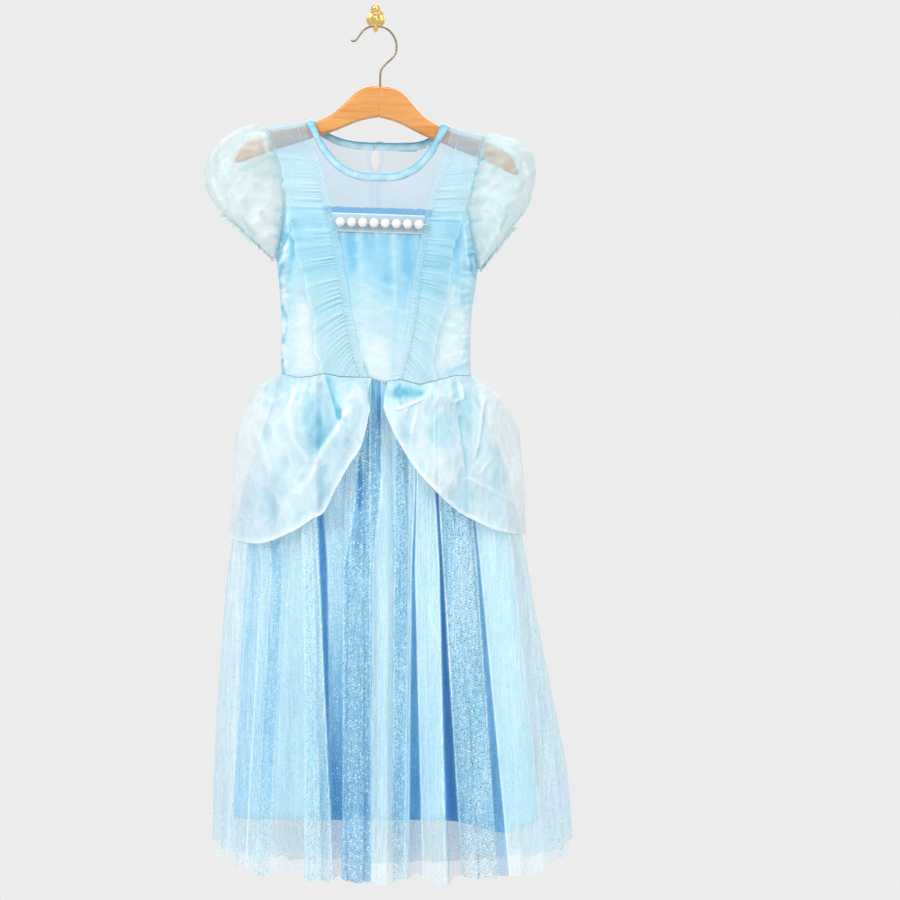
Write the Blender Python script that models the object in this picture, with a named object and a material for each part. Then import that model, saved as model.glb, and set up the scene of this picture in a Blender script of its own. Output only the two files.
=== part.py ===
"""A child's princess costume dress on a wooden hanger that hangs from a brass wall hook.

Metres, +Z up. The origin is the centre of the hook plate's flat back, which lies on the
wall plane y = 0; the dress hangs in front of it, towards -Y, with its front facing -Y.
The tables and sizes below are in millimetres, and each mesh is written in metres.
Left and right are the viewer's. Every cloth piece is a thin wall of its own.
"""
import math
from collections import namedtuple

import bmesh
import bpy
import numpy as np
from mathutils import Vector

MM = 0.001
SEAM_GAP = 0.3                  # clear space left between two pieces that meet at a seam
SEAM_TURN = 0.002               # half of that gap as an angle of a garment ring

# Wall hook: a turned plate on the wall and a cast arm with a ball tip.
PLATE_DIAMETER = 23.0
PLATE_THICKNESS = 4.0
BALL_DIAMETER = 11.5
HookPoint = namedtuple("HookPoint", "y z radius")
ARM_POINTS = (
    HookPoint(-4.5, -1.2, 3.6),
    HookPoint(-7.0, -1.2, 3.1),
    HookPoint(-11.0, -4.0, 3.0),
    HookPoint(-16.0, -8.2, 3.0),
    HookPoint(-22.0, -13.0, 3.0),
    HookPoint(-28.0, -15.0, 3.0),
    HookPoint(-33.5, -13.2, 3.0),
    HookPoint(-37.2, -8.4, 3.0),
    HookPoint(-38.5, -2.0, 3.0),
    HookPoint(-38.5, 2.4, 2.8),
    HookPoint(-38.5, 3.4, 4.3),
    HookPoint(-38.5, 5.2, 4.3),
    HookPoint(-38.5, 6.0, 3.3),
)
BALL_CENTRE_Z = 10.6

# Hanger: a steel wire hook in two beech arms, seen a little turned on the hook.
HANGER_Y = -28.0
WIRE_RADIUS = 1.25
WOOD_CENTRE_X = 5.4
WOOD_CENTRE_Z = -82.0
WOOD_THICKNESS = 12.0
WOOD_EDGE_RADIUS = 4.5
HANGER_TILT = math.radians(2.5)
WirePoint = namedtuple("WirePoint", "x z")
WIRE_POINTS = (
    WirePoint(5.5, -83.0), WirePoint(5.5, -72.0), WirePoint(6.6, -62.9), WirePoint(12.0, -55.9),
    WirePoint(18.8, -49.8), WirePoint(23.2, -44.0), WirePoint(25.1, -37.0), WirePoint(24.6, -29.5),
    WirePoint(21.2, -21.5), WirePoint(16.0, -15.3), WirePoint(9.5, -11.7), WirePoint(2.0, -10.4),
    WirePoint(-4.5, -10.4), WirePoint(-10.5, -12.4), WirePoint(-15.8, -16.4),
    WirePoint(-20.0, -21.8), WirePoint(-23.4, -26.4), WirePoint(-26.2, -28.3),
    WirePoint(-30.0, -26.8),
)
# Half of the wooden hanger: distance from its middle, and how far its edges lie below the top.
WoodStation = namedtuple("WoodStation", "reach top bottom")
WOOD_STATIONS = (
    WoodStation(0.0, 0.0, -38.0),
    WoodStation(12.0, -1.0, -40.5),
    WoodStation(20.0, -3.4, -42.6),
    WoodStation(30.0, -9.8, -46.4),
    WoodStation(42.0, -22.6, -52.0),
    WoodStation(54.0, -34.0, -57.4),
    WoodStation(70.0, -43.6, -63.3),
    WoodStation(96.0, -53.6, -73.0),
    WoodStation(133.0, -61.5, -86.4),
    WoodStation(152.0, -70.5, -94.5),
    WoodStation(164.0, -81.0, -99.5),
    WoodStation(171.0, -93.0, -101.6),
)

# The garment's rings. Each ring is wide in x, and flattened against the wall at its back.
MID_Y = HANGER_Y
FRONT_ROUND = 2.4               # roundness of a ring's front half: 2 is an ellipse
BACK_ROUND = 3.2
SATIN = 1.2                     # wall thicknesses of the cloths
NET = 1.0
ORGANZA = 1.0

Section = namedtuple("Section", "z left right back front")
BODY = (
    Section(-225.0, -118.0, 119.0, -7.0, -55.0),
    Section(-260.0, -119.0, 121.0, -7.0, -58.0),
    Section(-290.0, -120.0, 124.0, -7.0, -58.5),
    Section(-320.0, -116.5, 121.0, -7.0, -57.0),
    Section(-350.0, -114.5, 116.5, -7.0, -55.0),
    Section(-390.0, -114.0, 114.5, -7.0, -52.0),
    Section(-432.0, -114.0, 115.0, -7.0, -50.0),
)
BODICE_TOP = -231.0             # the seam of yoke and bodice, at the middle
BODICE_TOP_TILT = 0.03
WAIST = -431.6
PrincessSeam = namedtuple("PrincessSeam", "z left right")
PRINCESS_SEAMS = (
    PrincessSeam(-225.0, -64.5, 71.0),
    PrincessSeam(-261.0, -55.0, 64.0),
    PrincessSeam(-311.0, -46.6, 55.5),
    PrincessSeam(-343.0, -41.2, 52.0),
    PrincessSeam(-395.0, -31.2, 42.5),
    PrincessSeam(-432.0, -19.2, 32.5),
)

# Neck and shoulders. The shoulders lie on the hanger's arms, bent round their top edge.
SHOULDER_BEND = 9.2
SHOULDER_LIFT = 3.2             # of the yoke's outer face above the wood
NECK_MIDDLE = 2.3
NECK_HALF = 82.3
NECK_SIDE_Z = -127.2
NECK_SIDE_TILT = 0.0235
NECK_LEAVES_WOOD = (7.0, 12.0)  # inside the neck's sides, where its line leaves the wood's slope
FRONT_NECK_DROP = 61.5
FRONT_NECK_ROUND = 2.45
BACK_NECK_DROP = 27.5
BACK_NECK_ROUND = 6.0
BINDING_WIDTH = 8.4
BINDING_THICKNESS = 1.2
BACK_SEAM_X = -0.6
KEYHOLE_TOP = -158.5
KEYHOLE_BOTTOM = -183.0
KEYHOLE_HALF = 5.5

# Armholes: where the yoke ends at each side, and how low the armhole cuts the bodice.
Armhole = namedtuple("Armhole", "z left right")
ARMHOLES = (
    Armhole(-138.0, -129.0, 130.0),
    Armhole(-160.0, -122.0, 126.5),
    Armhole(-185.0, -116.0, 121.0),
    Armhole(-207.0, -112.0, 115.0),
    Armhole(-235.0, -110.5, 111.0),
)
ARMHOLE_BOTTOM = {"left": -289.0, "right": -302.0}

# Ruffles: gathered net strips over the princess seams, from shoulder to waist.
RuffleLine = namedtuple("RuffleLine", "z left left_edge right right_edge")
RUFFLE_LINES = (
    RuffleLine(-130.0, -95.4, -126.0, 101.5, 127.0),
    RuffleLine(-160.0, -87.5, -119.0, 95.0, 124.0),
    RuffleLine(-186.0, -75.0, -113.5, 87.0, 119.0),
    RuffleLine(-204.0, -70.5, -109.5, 79.5, 113.0),
    RuffleLine(-232.0, -63.0, -105.5, 69.6, 107.0),
    RuffleLine(-261.0, -55.4, -101.0, 64.4, 99.5),
    RuffleLine(-284.0, -50.8, -95.4, 60.0, 93.5),
    RuffleLine(-311.0, -46.8, -88.0, 55.7, 90.0),
    RuffleLine(-343.0, -41.2, -78.5, 52.2, 86.5),
    RuffleLine(-371.0, -36.2, -76.0, 48.0, 78.0),
    RuffleLine(-395.0, -31.4, -74.0, 42.8, 72.0),
    RuffleLine(-431.0, -19.6, -64.0, 33.0, 72.0),
)
RUFFLE_GATHERS = 27
RUFFLE_HEADER = 9.5
RUFFLE_STITCH_LIFT = 1.9
RuffleRow = namedtuple("RuffleRow", "across lift wave")
RUFFLE_ROWS = (                 # across: -1 is the header's edge, 0 the stitching, 1 the flounce's edge
    RuffleRow(-1.0, 3.5, 1.6),
    RuffleRow(0.0, RUFFLE_STITCH_LIFT, 0.0),
    RuffleRow(0.45, 4.0, 1.8),
    RuffleRow(1.0, 5.0, 2.9),
)

# Puff sleeves: the crown line from the shoulder to the elastic, and the depth on the way.
SleeveRow = namedtuple("SleeveRow", "along left_x left_z right_x right_z front back gather")
SLEEVE_ROWS = (
    SleeveRow(0.00, -130.0, -138.0, 131.0, -147.0, 12.0, 10.0, 0.0),
    SleeveRow(0.09, -138.0, -131.5, 136.0, -140.5, 25.0, 17.0, 1.1),
    SleeveRow(0.25, -162.6, -133.2, 158.0, -142.0, 35.0, 22.0, 0.9),
    SleeveRow(0.42, -186.0, -147.0, 178.5, -151.5, 39.0, 24.0, 0.5),
    SleeveRow(0.56, -200.0, -164.0, 189.0, -163.5, 39.5, 24.0, 0.4),
    SleeveRow(0.70, -206.2, -187.0, 193.0, -182.0, 36.0, 23.5, 0.6),
    SleeveRow(0.83, -203.0, -207.0, 190.0, -206.0, 30.0, 21.0, 1.1),
    SleeveRow(0.93, -193.0, -224.0, 181.0, -231.0, 22.0, 17.0, 1.3),
    SleeveRow(1.00, -180.5, -236.0, 163.0, -252.0, 15.0, 13.0, 0.8),
)
UNDERARM = {"left": (-8.5, -6.0), "right": (7.5, -5.0)}     # its run to the elastic, x and z
SLEEVE_GATHERS = 9
SLEEVE_SET_OUT = 1.3             # from the armhole to the sleeve, along x
SLEEVE_FRILL = 10.0
SLEEVE_FRILL_FLARE = 3.5
SLEEVE_FRILL_WAVE = 2.0

# Skirt: a satin lining, and a full net skirt over it with deep soft folds.
SKIRT_TOP = -432.2
LINING = (
    Section(-432.0, -111.0, 112.0, -11.0, -47.0),
    Section(-444.0, -113.5, 114.5, -15.5, -50.0),
    Section(-470.0, -120.0, 121.0, -16.0, -56.0),
    Section(-535.0, -138.0, 142.0, -17.0, -66.0),
    Section(-621.0, -153.0, 160.0, -18.0, -77.0),
    Section(-720.0, -160.0, 172.0, -18.5, -86.0),
    Section(-850.0, -167.0, 187.0, -18.5, -94.0),
    Section(-1000.0, -173.0, 199.0, -18.5, -101.0),
)
NET_SKIRT = (
    Section(-432.0, -114.0, 115.0, -8.0, -50.0),
    Section(-444.0, -117.0, 118.0, -12.0, -53.5),
    Section(-470.0, -125.0, 127.0, -13.5, -61.0),
    Section(-535.0, -149.0, 154.0, -13.5, -73.0),
    Section(-621.0, -171.0, 174.5, -13.5, -85.0),
    Section(-720.0, -182.0, 193.0, -14.0, -94.0),
    Section(-800.0, -187.5, 208.0, -14.0, -99.0),
    Section(-904.0, -193.5, 228.0, -14.0, -104.0),
    Section(-1036.0, -196.0, 239.0, -14.0, -110.0),
)
FOLD_TOP = -604.0               # heights at which the table gives the folds' places
FOLD_HEM = -1000.0
WAIST_SHARE = 0.69              # how much closer together the folds lie at the waist
Fold = namedtuple("Fold", "top_x hem_x top_half hem_half height")
FRONT_FOLDS = (
    Fold(-162.0, -180.0, 8.5, 10.0, 6.0),
    Fold(-131.0, -153.0, 8.5, 11.0, 9.0),
    Fold(-101.4, -124.8, 12.0, 14.5, 14.0),
    Fold(-75.6, -64.2, 11.0, 17.0, 24.0),
    Fold(-22.2, -21.0, 15.0, 17.0, 13.0),
    Fold(8.4, 9.6, 11.0, 11.5, 22.0),
    Fold(32.5, 32.4, 9.0, 9.0, 9.0),
    Fold(63.0, 73.2, 13.5, 14.5, 25.0),
    Fold(97.8, 126.6, 16.0, 19.0, 15.0),
    Fold(142.0, 175.0, 17.0, 24.0, 19.0),
    Fold(166.0, 218.0, 8.0, 12.0, 7.0),
)
BACK_FOLDS = 9
BACK_FOLD_HEIGHT = 7.0
LINING_FOLD_SHARE = 0.3
NET_HEM_FRONT = -1036.0
NET_HEM_BACK = -1022.0
NET_HEM_SIDE = -986.0
LINING_HEM = -962.0
LINING_DIP = 24.0
LINING_DIP_X = 160.0
LINING_DIP_HALF = 42.0

# Overskirt: two gathered organza drapes, puffed out over the hips.
DRAPE = (
    Section(-432.0, -115.3, 116.3, -5.0, -53.4),
    Section(-447.0, -143.0, 140.0, -3.0, -73.0),
    Section(-468.0, -159.0, 160.0, -3.0, -85.0),
    Section(-498.0, -168.5, 174.0, -3.0, -95.0),
    Section(-535.0, -172.5, 178.5, -3.0, -100.0),
    Section(-572.0, -174.6, 180.6, -3.0, -105.0),
    Section(-600.0, -175.5, 181.5, -3.0, -107.0),
    Section(-634.0, -179.5, 183.0, -3.0, -108.0),
)
DrapeEdge = namedtuple("DrapeEdge", "turn left right")
DRAPE_EDGES = (                 # turn: degrees from the side, 90 at the front's middle
    DrapeEdge(-88.5, -470.0, -470.0),
    DrapeEdge(-84.0, -530.0, -530.0),
    DrapeEdge(-74.0, -584.0, -580.0),
    DrapeEdge(-55.0, -616.0, -608.0),
    DrapeEdge(-25.0, -626.0, -620.0),
    DrapeEdge(0.0, -622.0, -620.0),
    DrapeEdge(14.0, -627.0, -621.0),
    DrapeEdge(32.0, -631.0, -619.0),
    DrapeEdge(45.0, -631.0, -613.0),
    DrapeEdge(55.0, -623.0, -602.0),
    DrapeEdge(62.0, -614.0, -590.0),
    DrapeEdge(68.0, -602.0, -577.0),
    DrapeEdge(73.0, -593.0, -563.0),
    DrapeEdge(77.0, -567.0, -549.0),
    DrapeEdge(82.0, -537.0, -524.0),
    DrapeEdge(86.0, -511.0, -497.0),
    DrapeEdge(88.5, -470.0, -468.0),
)
DRAPE_GATHERS = 10
DRAPE_GATHER_DEPTH = 4.5
DRAPE_BACK_SHARE = 0.45         # of that depth, where the drapes lie against the wall

# Pearl band on the front, and the back neck's button, loop and blank label.
BAND_TOP = -238.5
BAND_BOTTOM = -257.5
BAND_THICKNESS = 1.4
PEARL_DIAMETER = 11.5
PEARL_COUNT = 8
PEARL_FIRST_X = -42.1
PEARL_PITCH = 13.45
PEARL_Z = -247.0
PEARL_TILT = 0.035
BINDING_MIDDLE_OUT = 0.9        # how far the binding's middle stands out from the neckline
BUTTON_DIAMETER = 11.5
BUTTON_THICKNESS = 3.0
BUTTON_X = 5.4
BUTTON_Z = -152.8
SHANK_DIAMETER = 3.0
SHANK_LENGTH = 3.3
LOOP_RADIUS = 1.0
LoopPoint = namedtuple("LoopPoint", "x z")
LOOP_POINTS = (                 # measured from the button's centre
    LoopPoint(-12.4, 1.2), LoopPoint(-7.4, 2.5), LoopPoint(-2.4, 3.6), LoopPoint(1.6, 3.2),
    LoopPoint(3.6, 0.0), LoopPoint(1.6, -3.2), LoopPoint(-2.4, -3.6), LoopPoint(-7.4, -2.5),
    LoopPoint(-12.4, -1.2),
)
LABEL_WIDTH = 21.6
LABEL_DROP = 12.0
LABEL_THICKNESS = 0.8
LABEL_X = 39.0
LABEL_TOP = -150.4

COLOURS = {
    "brass": (0.72, 0.50, 0.17), "steel": (0.22, 0.19, 0.15), "beech": (0.86, 0.45, 0.17),
    "satin": (0.56, 0.82, 0.93), "net": (0.62, 0.84, 0.95), "pale net": (0.72, 0.84, 0.90),
    "organza": (0.80, 0.91, 0.94), "white": (0.92, 0.92, 0.90), "horn": (0.80, 0.72, 0.62),
}


def read(table, column, at):
    """A column's value at a place of the first column, smooth between the table's rows."""
    rows = sorted(table, key=lambda row: row[0])
    keys = np.array([row[0] for row in rows])
    values = np.array([getattr(row, column) for row in rows])
    slopes = np.gradient(values, keys)
    at = np.clip(at, keys[0], keys[-1])
    low = np.clip(np.searchsorted(keys, at) - 1, 0, len(keys) - 2)
    span = keys[low + 1] - keys[low]
    t = (at - keys[low]) / span
    return (values[low] * (1 + 2 * t) * (1 - t) ** 2 + values[low + 1] * t * t * (3 - 2 * t)
            + span * (slopes[low] * t * (1 - t) ** 2 - slopes[low + 1] * t * t * (1 - t)))


def smooth_path(points, steps):
    """A smooth curve through hand-placed points, with a few steps between each two."""
    axes = np.array(points, dtype=float)
    slopes = np.gradient(axes, axis=0)
    path = []
    for place in np.linspace(0, len(axes) - 1, (len(axes) - 1) * steps + 1):
        low = min(int(place), len(axes) - 2)
        t = place - low
        path.append(axes[low] * (1 + 2 * t) * (1 - t) ** 2 + axes[low + 1] * t * t * (3 - 2 * t)
                    + slopes[low] * t * (1 - t) ** 2 - slopes[low + 1] * t * t * (1 - t))
    return np.array(path)


def finish(piece, colour, roughness, metallic):
    """Give a piece its own material."""
    material = bpy.data.materials.new(piece.name)
    material.use_nodes = True
    shader = material.node_tree.nodes["Principled BSDF"]
    shader.inputs["Base Color"].default_value = (*COLOURS[colour], 1.0)
    shader.inputs["Roughness"].default_value = roughness
    shader.inputs["Metallic"].default_value = metallic
    piece.data.materials.append(material)


def add_piece(name, points, faces, colour, roughness, metallic=0.0):
    """A named object from points in millimetres, with its faces turned outwards."""
    mesh = bpy.data.meshes.new(name)
    mesh.from_pydata([Vector(point) * MM for point in points], [], faces)
    shape = bmesh.new()
    shape.from_mesh(mesh)
    bmesh.ops.recalc_face_normals(shape, faces=shape.faces)
    shape.to_mesh(mesh)
    shape.free()
    mesh.shade_smooth()
    mesh.set_sharp_from_angle(angle=math.radians(50))
    piece = bpy.data.objects.new(name, mesh)
    bpy.context.scene.collection.objects.link(piece)
    finish(piece, colour, roughness, metallic)
    return piece


def grid_faces(rows, columns, first=0, closed=False):
    """Quads of a grid of points that are numbered row by row from first."""
    faces = []
    for row in range(rows - 1):
        for column in range(columns if closed else columns - 1):
            beside = (column + 1) % columns
            low, high = first + row * columns, first + (row + 1) * columns
            faces.append((low + column, low + beside, high + beside, high + column))
    return faces


def wall_normals(outer, closed):
    """Unit normals of a grid of points, pointing away from the hollow that it bends round.

    On an open wall they lie square to y where it meets its other half, at a side seam or on
    the shoulder, so that the two ends face each other.
    """
    if closed:
        around = np.roll(outer, -1, axis=1) - np.roll(outer, 1, axis=1)
        centre = outer.mean(axis=1, keepdims=True)
    else:
        around = np.gradient(outer, axis=1)
        centre = outer * (0, 0, 1) + (0, MID_Y, 0)
    normals = np.cross(around, np.gradient(outer, axis=0))
    if not closed:
        normals[np.abs(outer[..., 1] - MID_Y) < 2 * SEAM_GAP, 1] = 0.0
    normals /= np.linalg.norm(normals, axis=2, keepdims=True)
    return normals * np.sign(np.sum(normals * (outer - centre)))


def cloth_wall(name, outer, thickness, colour, roughness, closed=False):
    """A wall of cloth: a grid of outer points, and the same grid moved in by the thickness."""
    outer = np.array(outer, dtype=float)
    inner = outer - wall_normals(outer, closed) * thickness
    rows, columns = outer.shape[:2]
    count = rows * columns
    points = np.concatenate([outer.reshape(-1, 3), inner.reshape(-1, 3)])
    faces = grid_faces(rows, columns, 0, closed) + grid_faces(rows, columns, count, closed)
    for column in range(columns if closed else columns - 1):
        for start in (0, count - columns):
            here, beside = start + column, start + (column + 1) % columns
            faces.append((here, beside, count + beside, count + here))
    if not closed:
        for row in range(rows - 1):
            for side in (0, columns - 1):
                here, above = row * columns + side, (row + 1) * columns + side
                faces.append((here, above, count + above, count + here))
    return add_piece(name, points, faces, colour, roughness)


def ring_point(sections, z, angle, out=0.0):
    """x and y on a garment ring. Angle 0 is the left side, a quarter turn the front's middle."""
    left, right = read(sections, "left", z), read(sections, "right", z)
    front, back = read(sections, "front", z), read(sections, "back", z)
    sine, cosine = np.sin(angle), np.cos(angle)
    power = 2.0 / np.where(sine >= 0, FRONT_ROUND, BACK_ROUND)
    depth = np.where(sine >= 0, MID_Y - front, back - MID_Y) + out
    x = (left + right) / 2 - ((right - left) / 2 + out) * np.sign(cosine) * np.abs(cosine) ** power
    return x, MID_Y - np.sign(sine) * depth * np.abs(sine) ** power


def ring_angle(sections, x, z, side=1):
    """The angle at which a ring's front (side 1) or back (side -1) passes x."""
    left, right = read(sections, "left", z), read(sections, "right", z)
    share = np.clip(((left + right) / 2 - x) / ((right - left) / 2), -1.0, 1.0)
    power = FRONT_ROUND if side > 0 else BACK_ROUND
    return side * np.arccos(np.sign(share) * np.abs(share) ** (power / 2))


def wood_top(x):
    """Height of the hanger's top edge, with its tilt."""
    reach = x - WOOD_CENTRE_X
    return WOOD_CENTRE_Z + read(WOOD_STATIONS, "top", np.abs(reach)) - math.tan(HANGER_TILT) * reach


def bodice_top(x):
    """Height of the seam between bodice and yoke, which hangs a little lower on the right."""
    return BODICE_TOP - BODICE_TOP_TILT * x


def shoulder_top(x):
    """Height of the shoulder line; over the neck opening it is carried straight across."""
    across = NECK_SIDE_Z - NECK_SIDE_TILT * (x - NECK_MIDDLE)
    inset = NECK_HALF - np.abs(x - NECK_MIDDLE)
    outside = np.interp(inset, NECK_LEAVES_WOOD, (1.0, 0.0))
    return across + (wood_top(x) + SHOULDER_LIFT - across) * outside


def torso_y(x, z, side):
    """Depth of the front (side 1) or back (side -1) of bodice and yoke."""
    seam = np.minimum(z, bodice_top(x))
    inside = np.clip(x, ARMHOLES[-1].left, ARMHOLES[-1].right)
    depth = np.abs(MID_Y - ring_point(BODY, seam, ring_angle(BODY, inside, seam, side))[1])
    top = shoulder_top(x)
    fall = np.clip(top - z, 0.0, None)
    bend = np.sqrt(SHOULDER_BEND ** 2 - (SHOULDER_BEND - np.minimum(fall, SHOULDER_BEND)) ** 2)
    share = np.clip((fall - SHOULDER_BEND) / (top - bodice_top(x) - SHOULDER_BEND), 0.0, 1.0)
    return MID_Y - side * (bend + (depth - SHOULDER_BEND) * share * (2 - share))


def torso_point(x, z, side, out=0.0):
    """A point of bodice or yoke, moved out; over the shoulder it is moved upwards."""
    fall = np.clip((shoulder_top(x) - z) / SHOULDER_BEND, 0.0, 1.0)
    turn = np.arccos(1.0 - fall)
    y = torso_y(x, z, side) - side * out * np.sin(turn)
    return x, y, z + out * np.cos(turn)


def neck_point(turn, grow, out=0.0):
    """A point of the neckline. Turn 0 is the left side, a quarter the front's middle."""
    half = NECK_HALF + grow
    x = NECK_MIDDLE - half * math.cos(turn)
    side = 1 if math.sin(turn) >= 0 else -1
    drop, power = (FRONT_NECK_DROP, FRONT_NECK_ROUND) if side > 0 else (BACK_NECK_DROP, BACK_NECK_ROUND)
    z = shoulder_top(x) - (drop + grow) * (1 - abs(math.cos(turn)) ** power)
    return torso_point(x, z, side, out)


def side_turn(hand, side, x, z):
    """How far round from the side seam the bodice passes x."""
    angle = abs(ring_angle(BODY, x, z, side))
    return angle if hand == "left" else math.pi - angle


def turn_angle(hand, side, turn):
    """The ring angle that lies a turn round from a side seam, to the front or the back."""
    return side * turn if hand == "left" else math.pi - side * turn


def armhole_edge(hand, side):
    """Where an armhole meets the top of the bodice: its x, height and turn from the side seam."""
    x = read(ARMHOLES, hand, BODICE_TOP)
    return x, bodice_top(x), side_turn(hand, side, x, BODICE_TOP)


def armhole_point(hand, side, z):
    """A point of the armhole, on the yoke's edge or on the curve cut into the bodice."""
    x, top, edge = armhole_edge(hand, side)
    if z >= top:
        x = read(ARMHOLES, hand, z)
        return np.array((x, torso_y(x, z, side), z))
    bottom = ARMHOLE_BOTTOM[hand]
    turn = edge * math.sqrt(max(z - bottom, 0.0) / (top - bottom))
    x, y = ring_point(BODY, z, turn_angle(hand, side, turn))
    return np.array((x, y, z))


def sweep(points, radii, sides, across):
    """Rings round a path that lies in one plane; across is the direction out of that plane."""
    points, across = np.array(points, dtype=float), np.array(across, dtype=float)
    aside = np.cross(np.gradient(points, axis=0), across)
    aside /= np.linalg.norm(aside, axis=1, keepdims=True)
    turns = np.linspace(0, 2 * math.pi, sides, endpoint=False)
    rings = [point + radius * (np.outer(np.cos(turns), way) + np.outer(np.sin(turns), across))
             for point, radius, way in zip(points, radii, aside)]
    faces = grid_faces(len(rings), sides, closed=True)
    faces.append(tuple(range(sides)))
    faces.append(tuple(len(rings) * sides - 1 - step for step in range(sides)))
    return np.concatenate(rings), faces


def turned(profile, sides):
    """Points and faces of a solid turned round the y axis, from rows of radius and y."""
    turns = np.linspace(0, 2 * math.pi, sides, endpoint=False)
    points = [(r * math.cos(t), y, r * math.sin(t)) for r, y in profile for t in turns]
    faces = grid_faces(len(profile), sides, closed=True)
    faces.append(tuple(range(sides)))
    faces.append(tuple(range(len(points) - sides, len(points))))
    return points, faces


def make_wall_hook():
    """Turned plate with a rounded rim, flat on the wall, and the cast arm in front of it."""
    half = PLATE_DIAMETER / 2
    profile = ((half, 0.0), (half, -1.6), (half - 1.2, -2.8), (half - 4.0, -PLATE_THICKNESS))
    add_piece("hook_plate", *turned(profile, 32), "brass", 0.25, 1.0)

    path = [tuple(point) for point in smooth_path(ARM_POINTS, 2)]
    ball = BALL_DIAMETER / 2
    tip_y, tip_radius = ARM_POINTS[-1].y, ARM_POINTS[-1].radius
    for turn in np.linspace(math.asin(tip_radius / ball) + 0.2, math.pi - 0.15, 8):
        path.append((tip_y, BALL_CENTRE_Z - ball * math.cos(turn), ball * math.sin(turn)))
    points, faces = sweep([(0.0, y, z) for y, z, _ in path], [r for _, _, r in path], 10, (1, 0, 0))
    add_piece("hook_arm", points, faces, "brass", 0.25, 1.0)


def make_hanger():
    """Wire hook bent in one plane, and two beech arms that meet at a joint in the middle."""
    path = [(x, HANGER_Y, z) for x, z in smooth_path(WIRE_POINTS, 2)]
    points, faces = sweep(path, [WIRE_RADIUS] * len(path), 6, (0, 1, 0))
    add_piece("hanger_wire", points, faces, "steel", 0.35, 1.0)
    for name, hand in (("hanger_wood_left", -1), ("hanger_wood_right", 1)):
        outline = [(hand * max(s.reach, SEAM_GAP / 2), s.top) for s in WOOD_STATIONS]
        outline += [(hand * max(s.reach, SEAM_GAP / 2), s.bottom) for s in reversed(WOOD_STATIONS)]
        points = []
        for y in (HANGER_Y - WOOD_THICKNESS / 2, HANGER_Y + WOOD_THICKNESS / 2):
            for reach, height in outline:
                x = reach * math.cos(HANGER_TILT) + height * math.sin(HANGER_TILT)
                z = height * math.cos(HANGER_TILT) - reach * math.sin(HANGER_TILT)
                points.append((WOOD_CENTRE_X + x, y, WOOD_CENTRE_Z + z))
        count = len(outline)
        faces = [tuple(range(count)), tuple(range(count, 2 * count))]
        faces += [(i, (i + 1) % count, count + (i + 1) % count, count + i) for i in range(count)]
        arm = add_piece(name, points, faces, "beech", 0.45)
        bevel = arm.modifiers.new("rounded edges", "BEVEL")
        bevel.width = WOOD_EDGE_RADIUS * MM
        bevel.segments = 2
        bevel.limit_method = "ANGLE"
        bevel.angle_limit = math.radians(60)


def make_bodice_panel(name, hand, side, start_turn, end_turn, columns, rows):
    """A bodice panel between two turns from the side seam, under its armhole and the yoke."""
    edge_x, edge_z, edge = armhole_edge(hand, side)
    bottom = ARMHOLE_BOTTOM[hand]
    outer = []
    for v in np.linspace(0, 1, rows):
        row = []
        for u in np.linspace(0, 1, columns):
            top_turn = start_turn(edge_z) + (end_turn(edge_z) - start_turn(edge_z)) * u
            if top_turn < edge:
                top = bottom + (edge_z - bottom) * (top_turn / edge) ** 2
            else:
                top = bodice_top(ring_point(BODY, edge_z, turn_angle(hand, side, top_turn))[0])
            z = top + (WAIST - top) * v
            turn = start_turn(z) + (end_turn(z) - start_turn(z)) * u
            x, y = ring_point(BODY, z, turn_angle(hand, side, turn))
            row.append((x, y, z))
        outer.append(row)
    cloth_wall(name, outer, SATIN, "satin", 0.3)


def make_bodice():
    """Satin bodice: a tapered front, two front sides, and two backs with a seam between them."""
    def at_side(z):
        return SEAM_TURN

    for hand in ("left", "right"):
        def at_princess_seam(z, hand=hand):
            return side_turn(hand, 1, read(PRINCESS_SEAMS, hand, z), z) - SEAM_TURN

        def at_back_seam(z, hand=hand):
            return side_turn(hand, -1, BACK_SEAM_X, z) - SEAM_TURN

        make_bodice_panel(f"bodice_front_{hand}", hand, 1, at_side, at_princess_seam, 9, 7)
        make_bodice_panel(f"bodice_back_{hand}", hand, -1, at_side, at_back_seam, 8, 5)

    def at_left_seam(z):
        return side_turn("left", 1, read(PRINCESS_SEAMS, "left", z), z) + SEAM_TURN

    def at_right_seam(z):
        return math.pi - side_turn("right", 1, read(PRINCESS_SEAMS, "right", z), z) - SEAM_TURN

    make_bodice_panel("bodice_front_centre", "left", 1, at_left_seam, at_right_seam, 7, 7)


def yoke_wall(name, side, tops, start_edge, end_edge, heights):
    """A yoke panel: one column of points below each point of its top edge."""
    outer = []
    for v in heights:
        row = []
        for top_x, top_z in tops:
            start, end = start_edge(top_z), end_edge(top_z)
            share = min((top_x - start) / (end - start), 1.0)
            foot_x = start_edge(BODICE_TOP) + (end_edge(BODICE_TOP) - start_edge(BODICE_TOP)) * share
            foot = bodice_top(foot_x) + SEAM_GAP
            z = foot + (top_z - foot) * v
            x = start_edge(z) + (end_edge(z) - start_edge(z)) * share
            y = torso_y(x, z, side)
            row.append((x, y - side * SEAM_GAP / 2 if y == MID_Y else y, z))
        outer.append(row)
    cloth_wall(name, outer, NET, "pale net", 0.6)


def quarter_turns(back_x=None, hand="left"):
    """Turns along a quarter of the neck, from its side to its middle or the back opening."""
    middle = math.pi / 2
    if back_x is not None:
        reach = NECK_MIDDLE - back_x if hand == "left" else back_x - NECK_MIDDLE
        middle = math.acos(reach / NECK_HALF)
    return np.concatenate([(0.0, 0.07, 0.14), np.linspace(0.25, middle, 8)])


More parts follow.
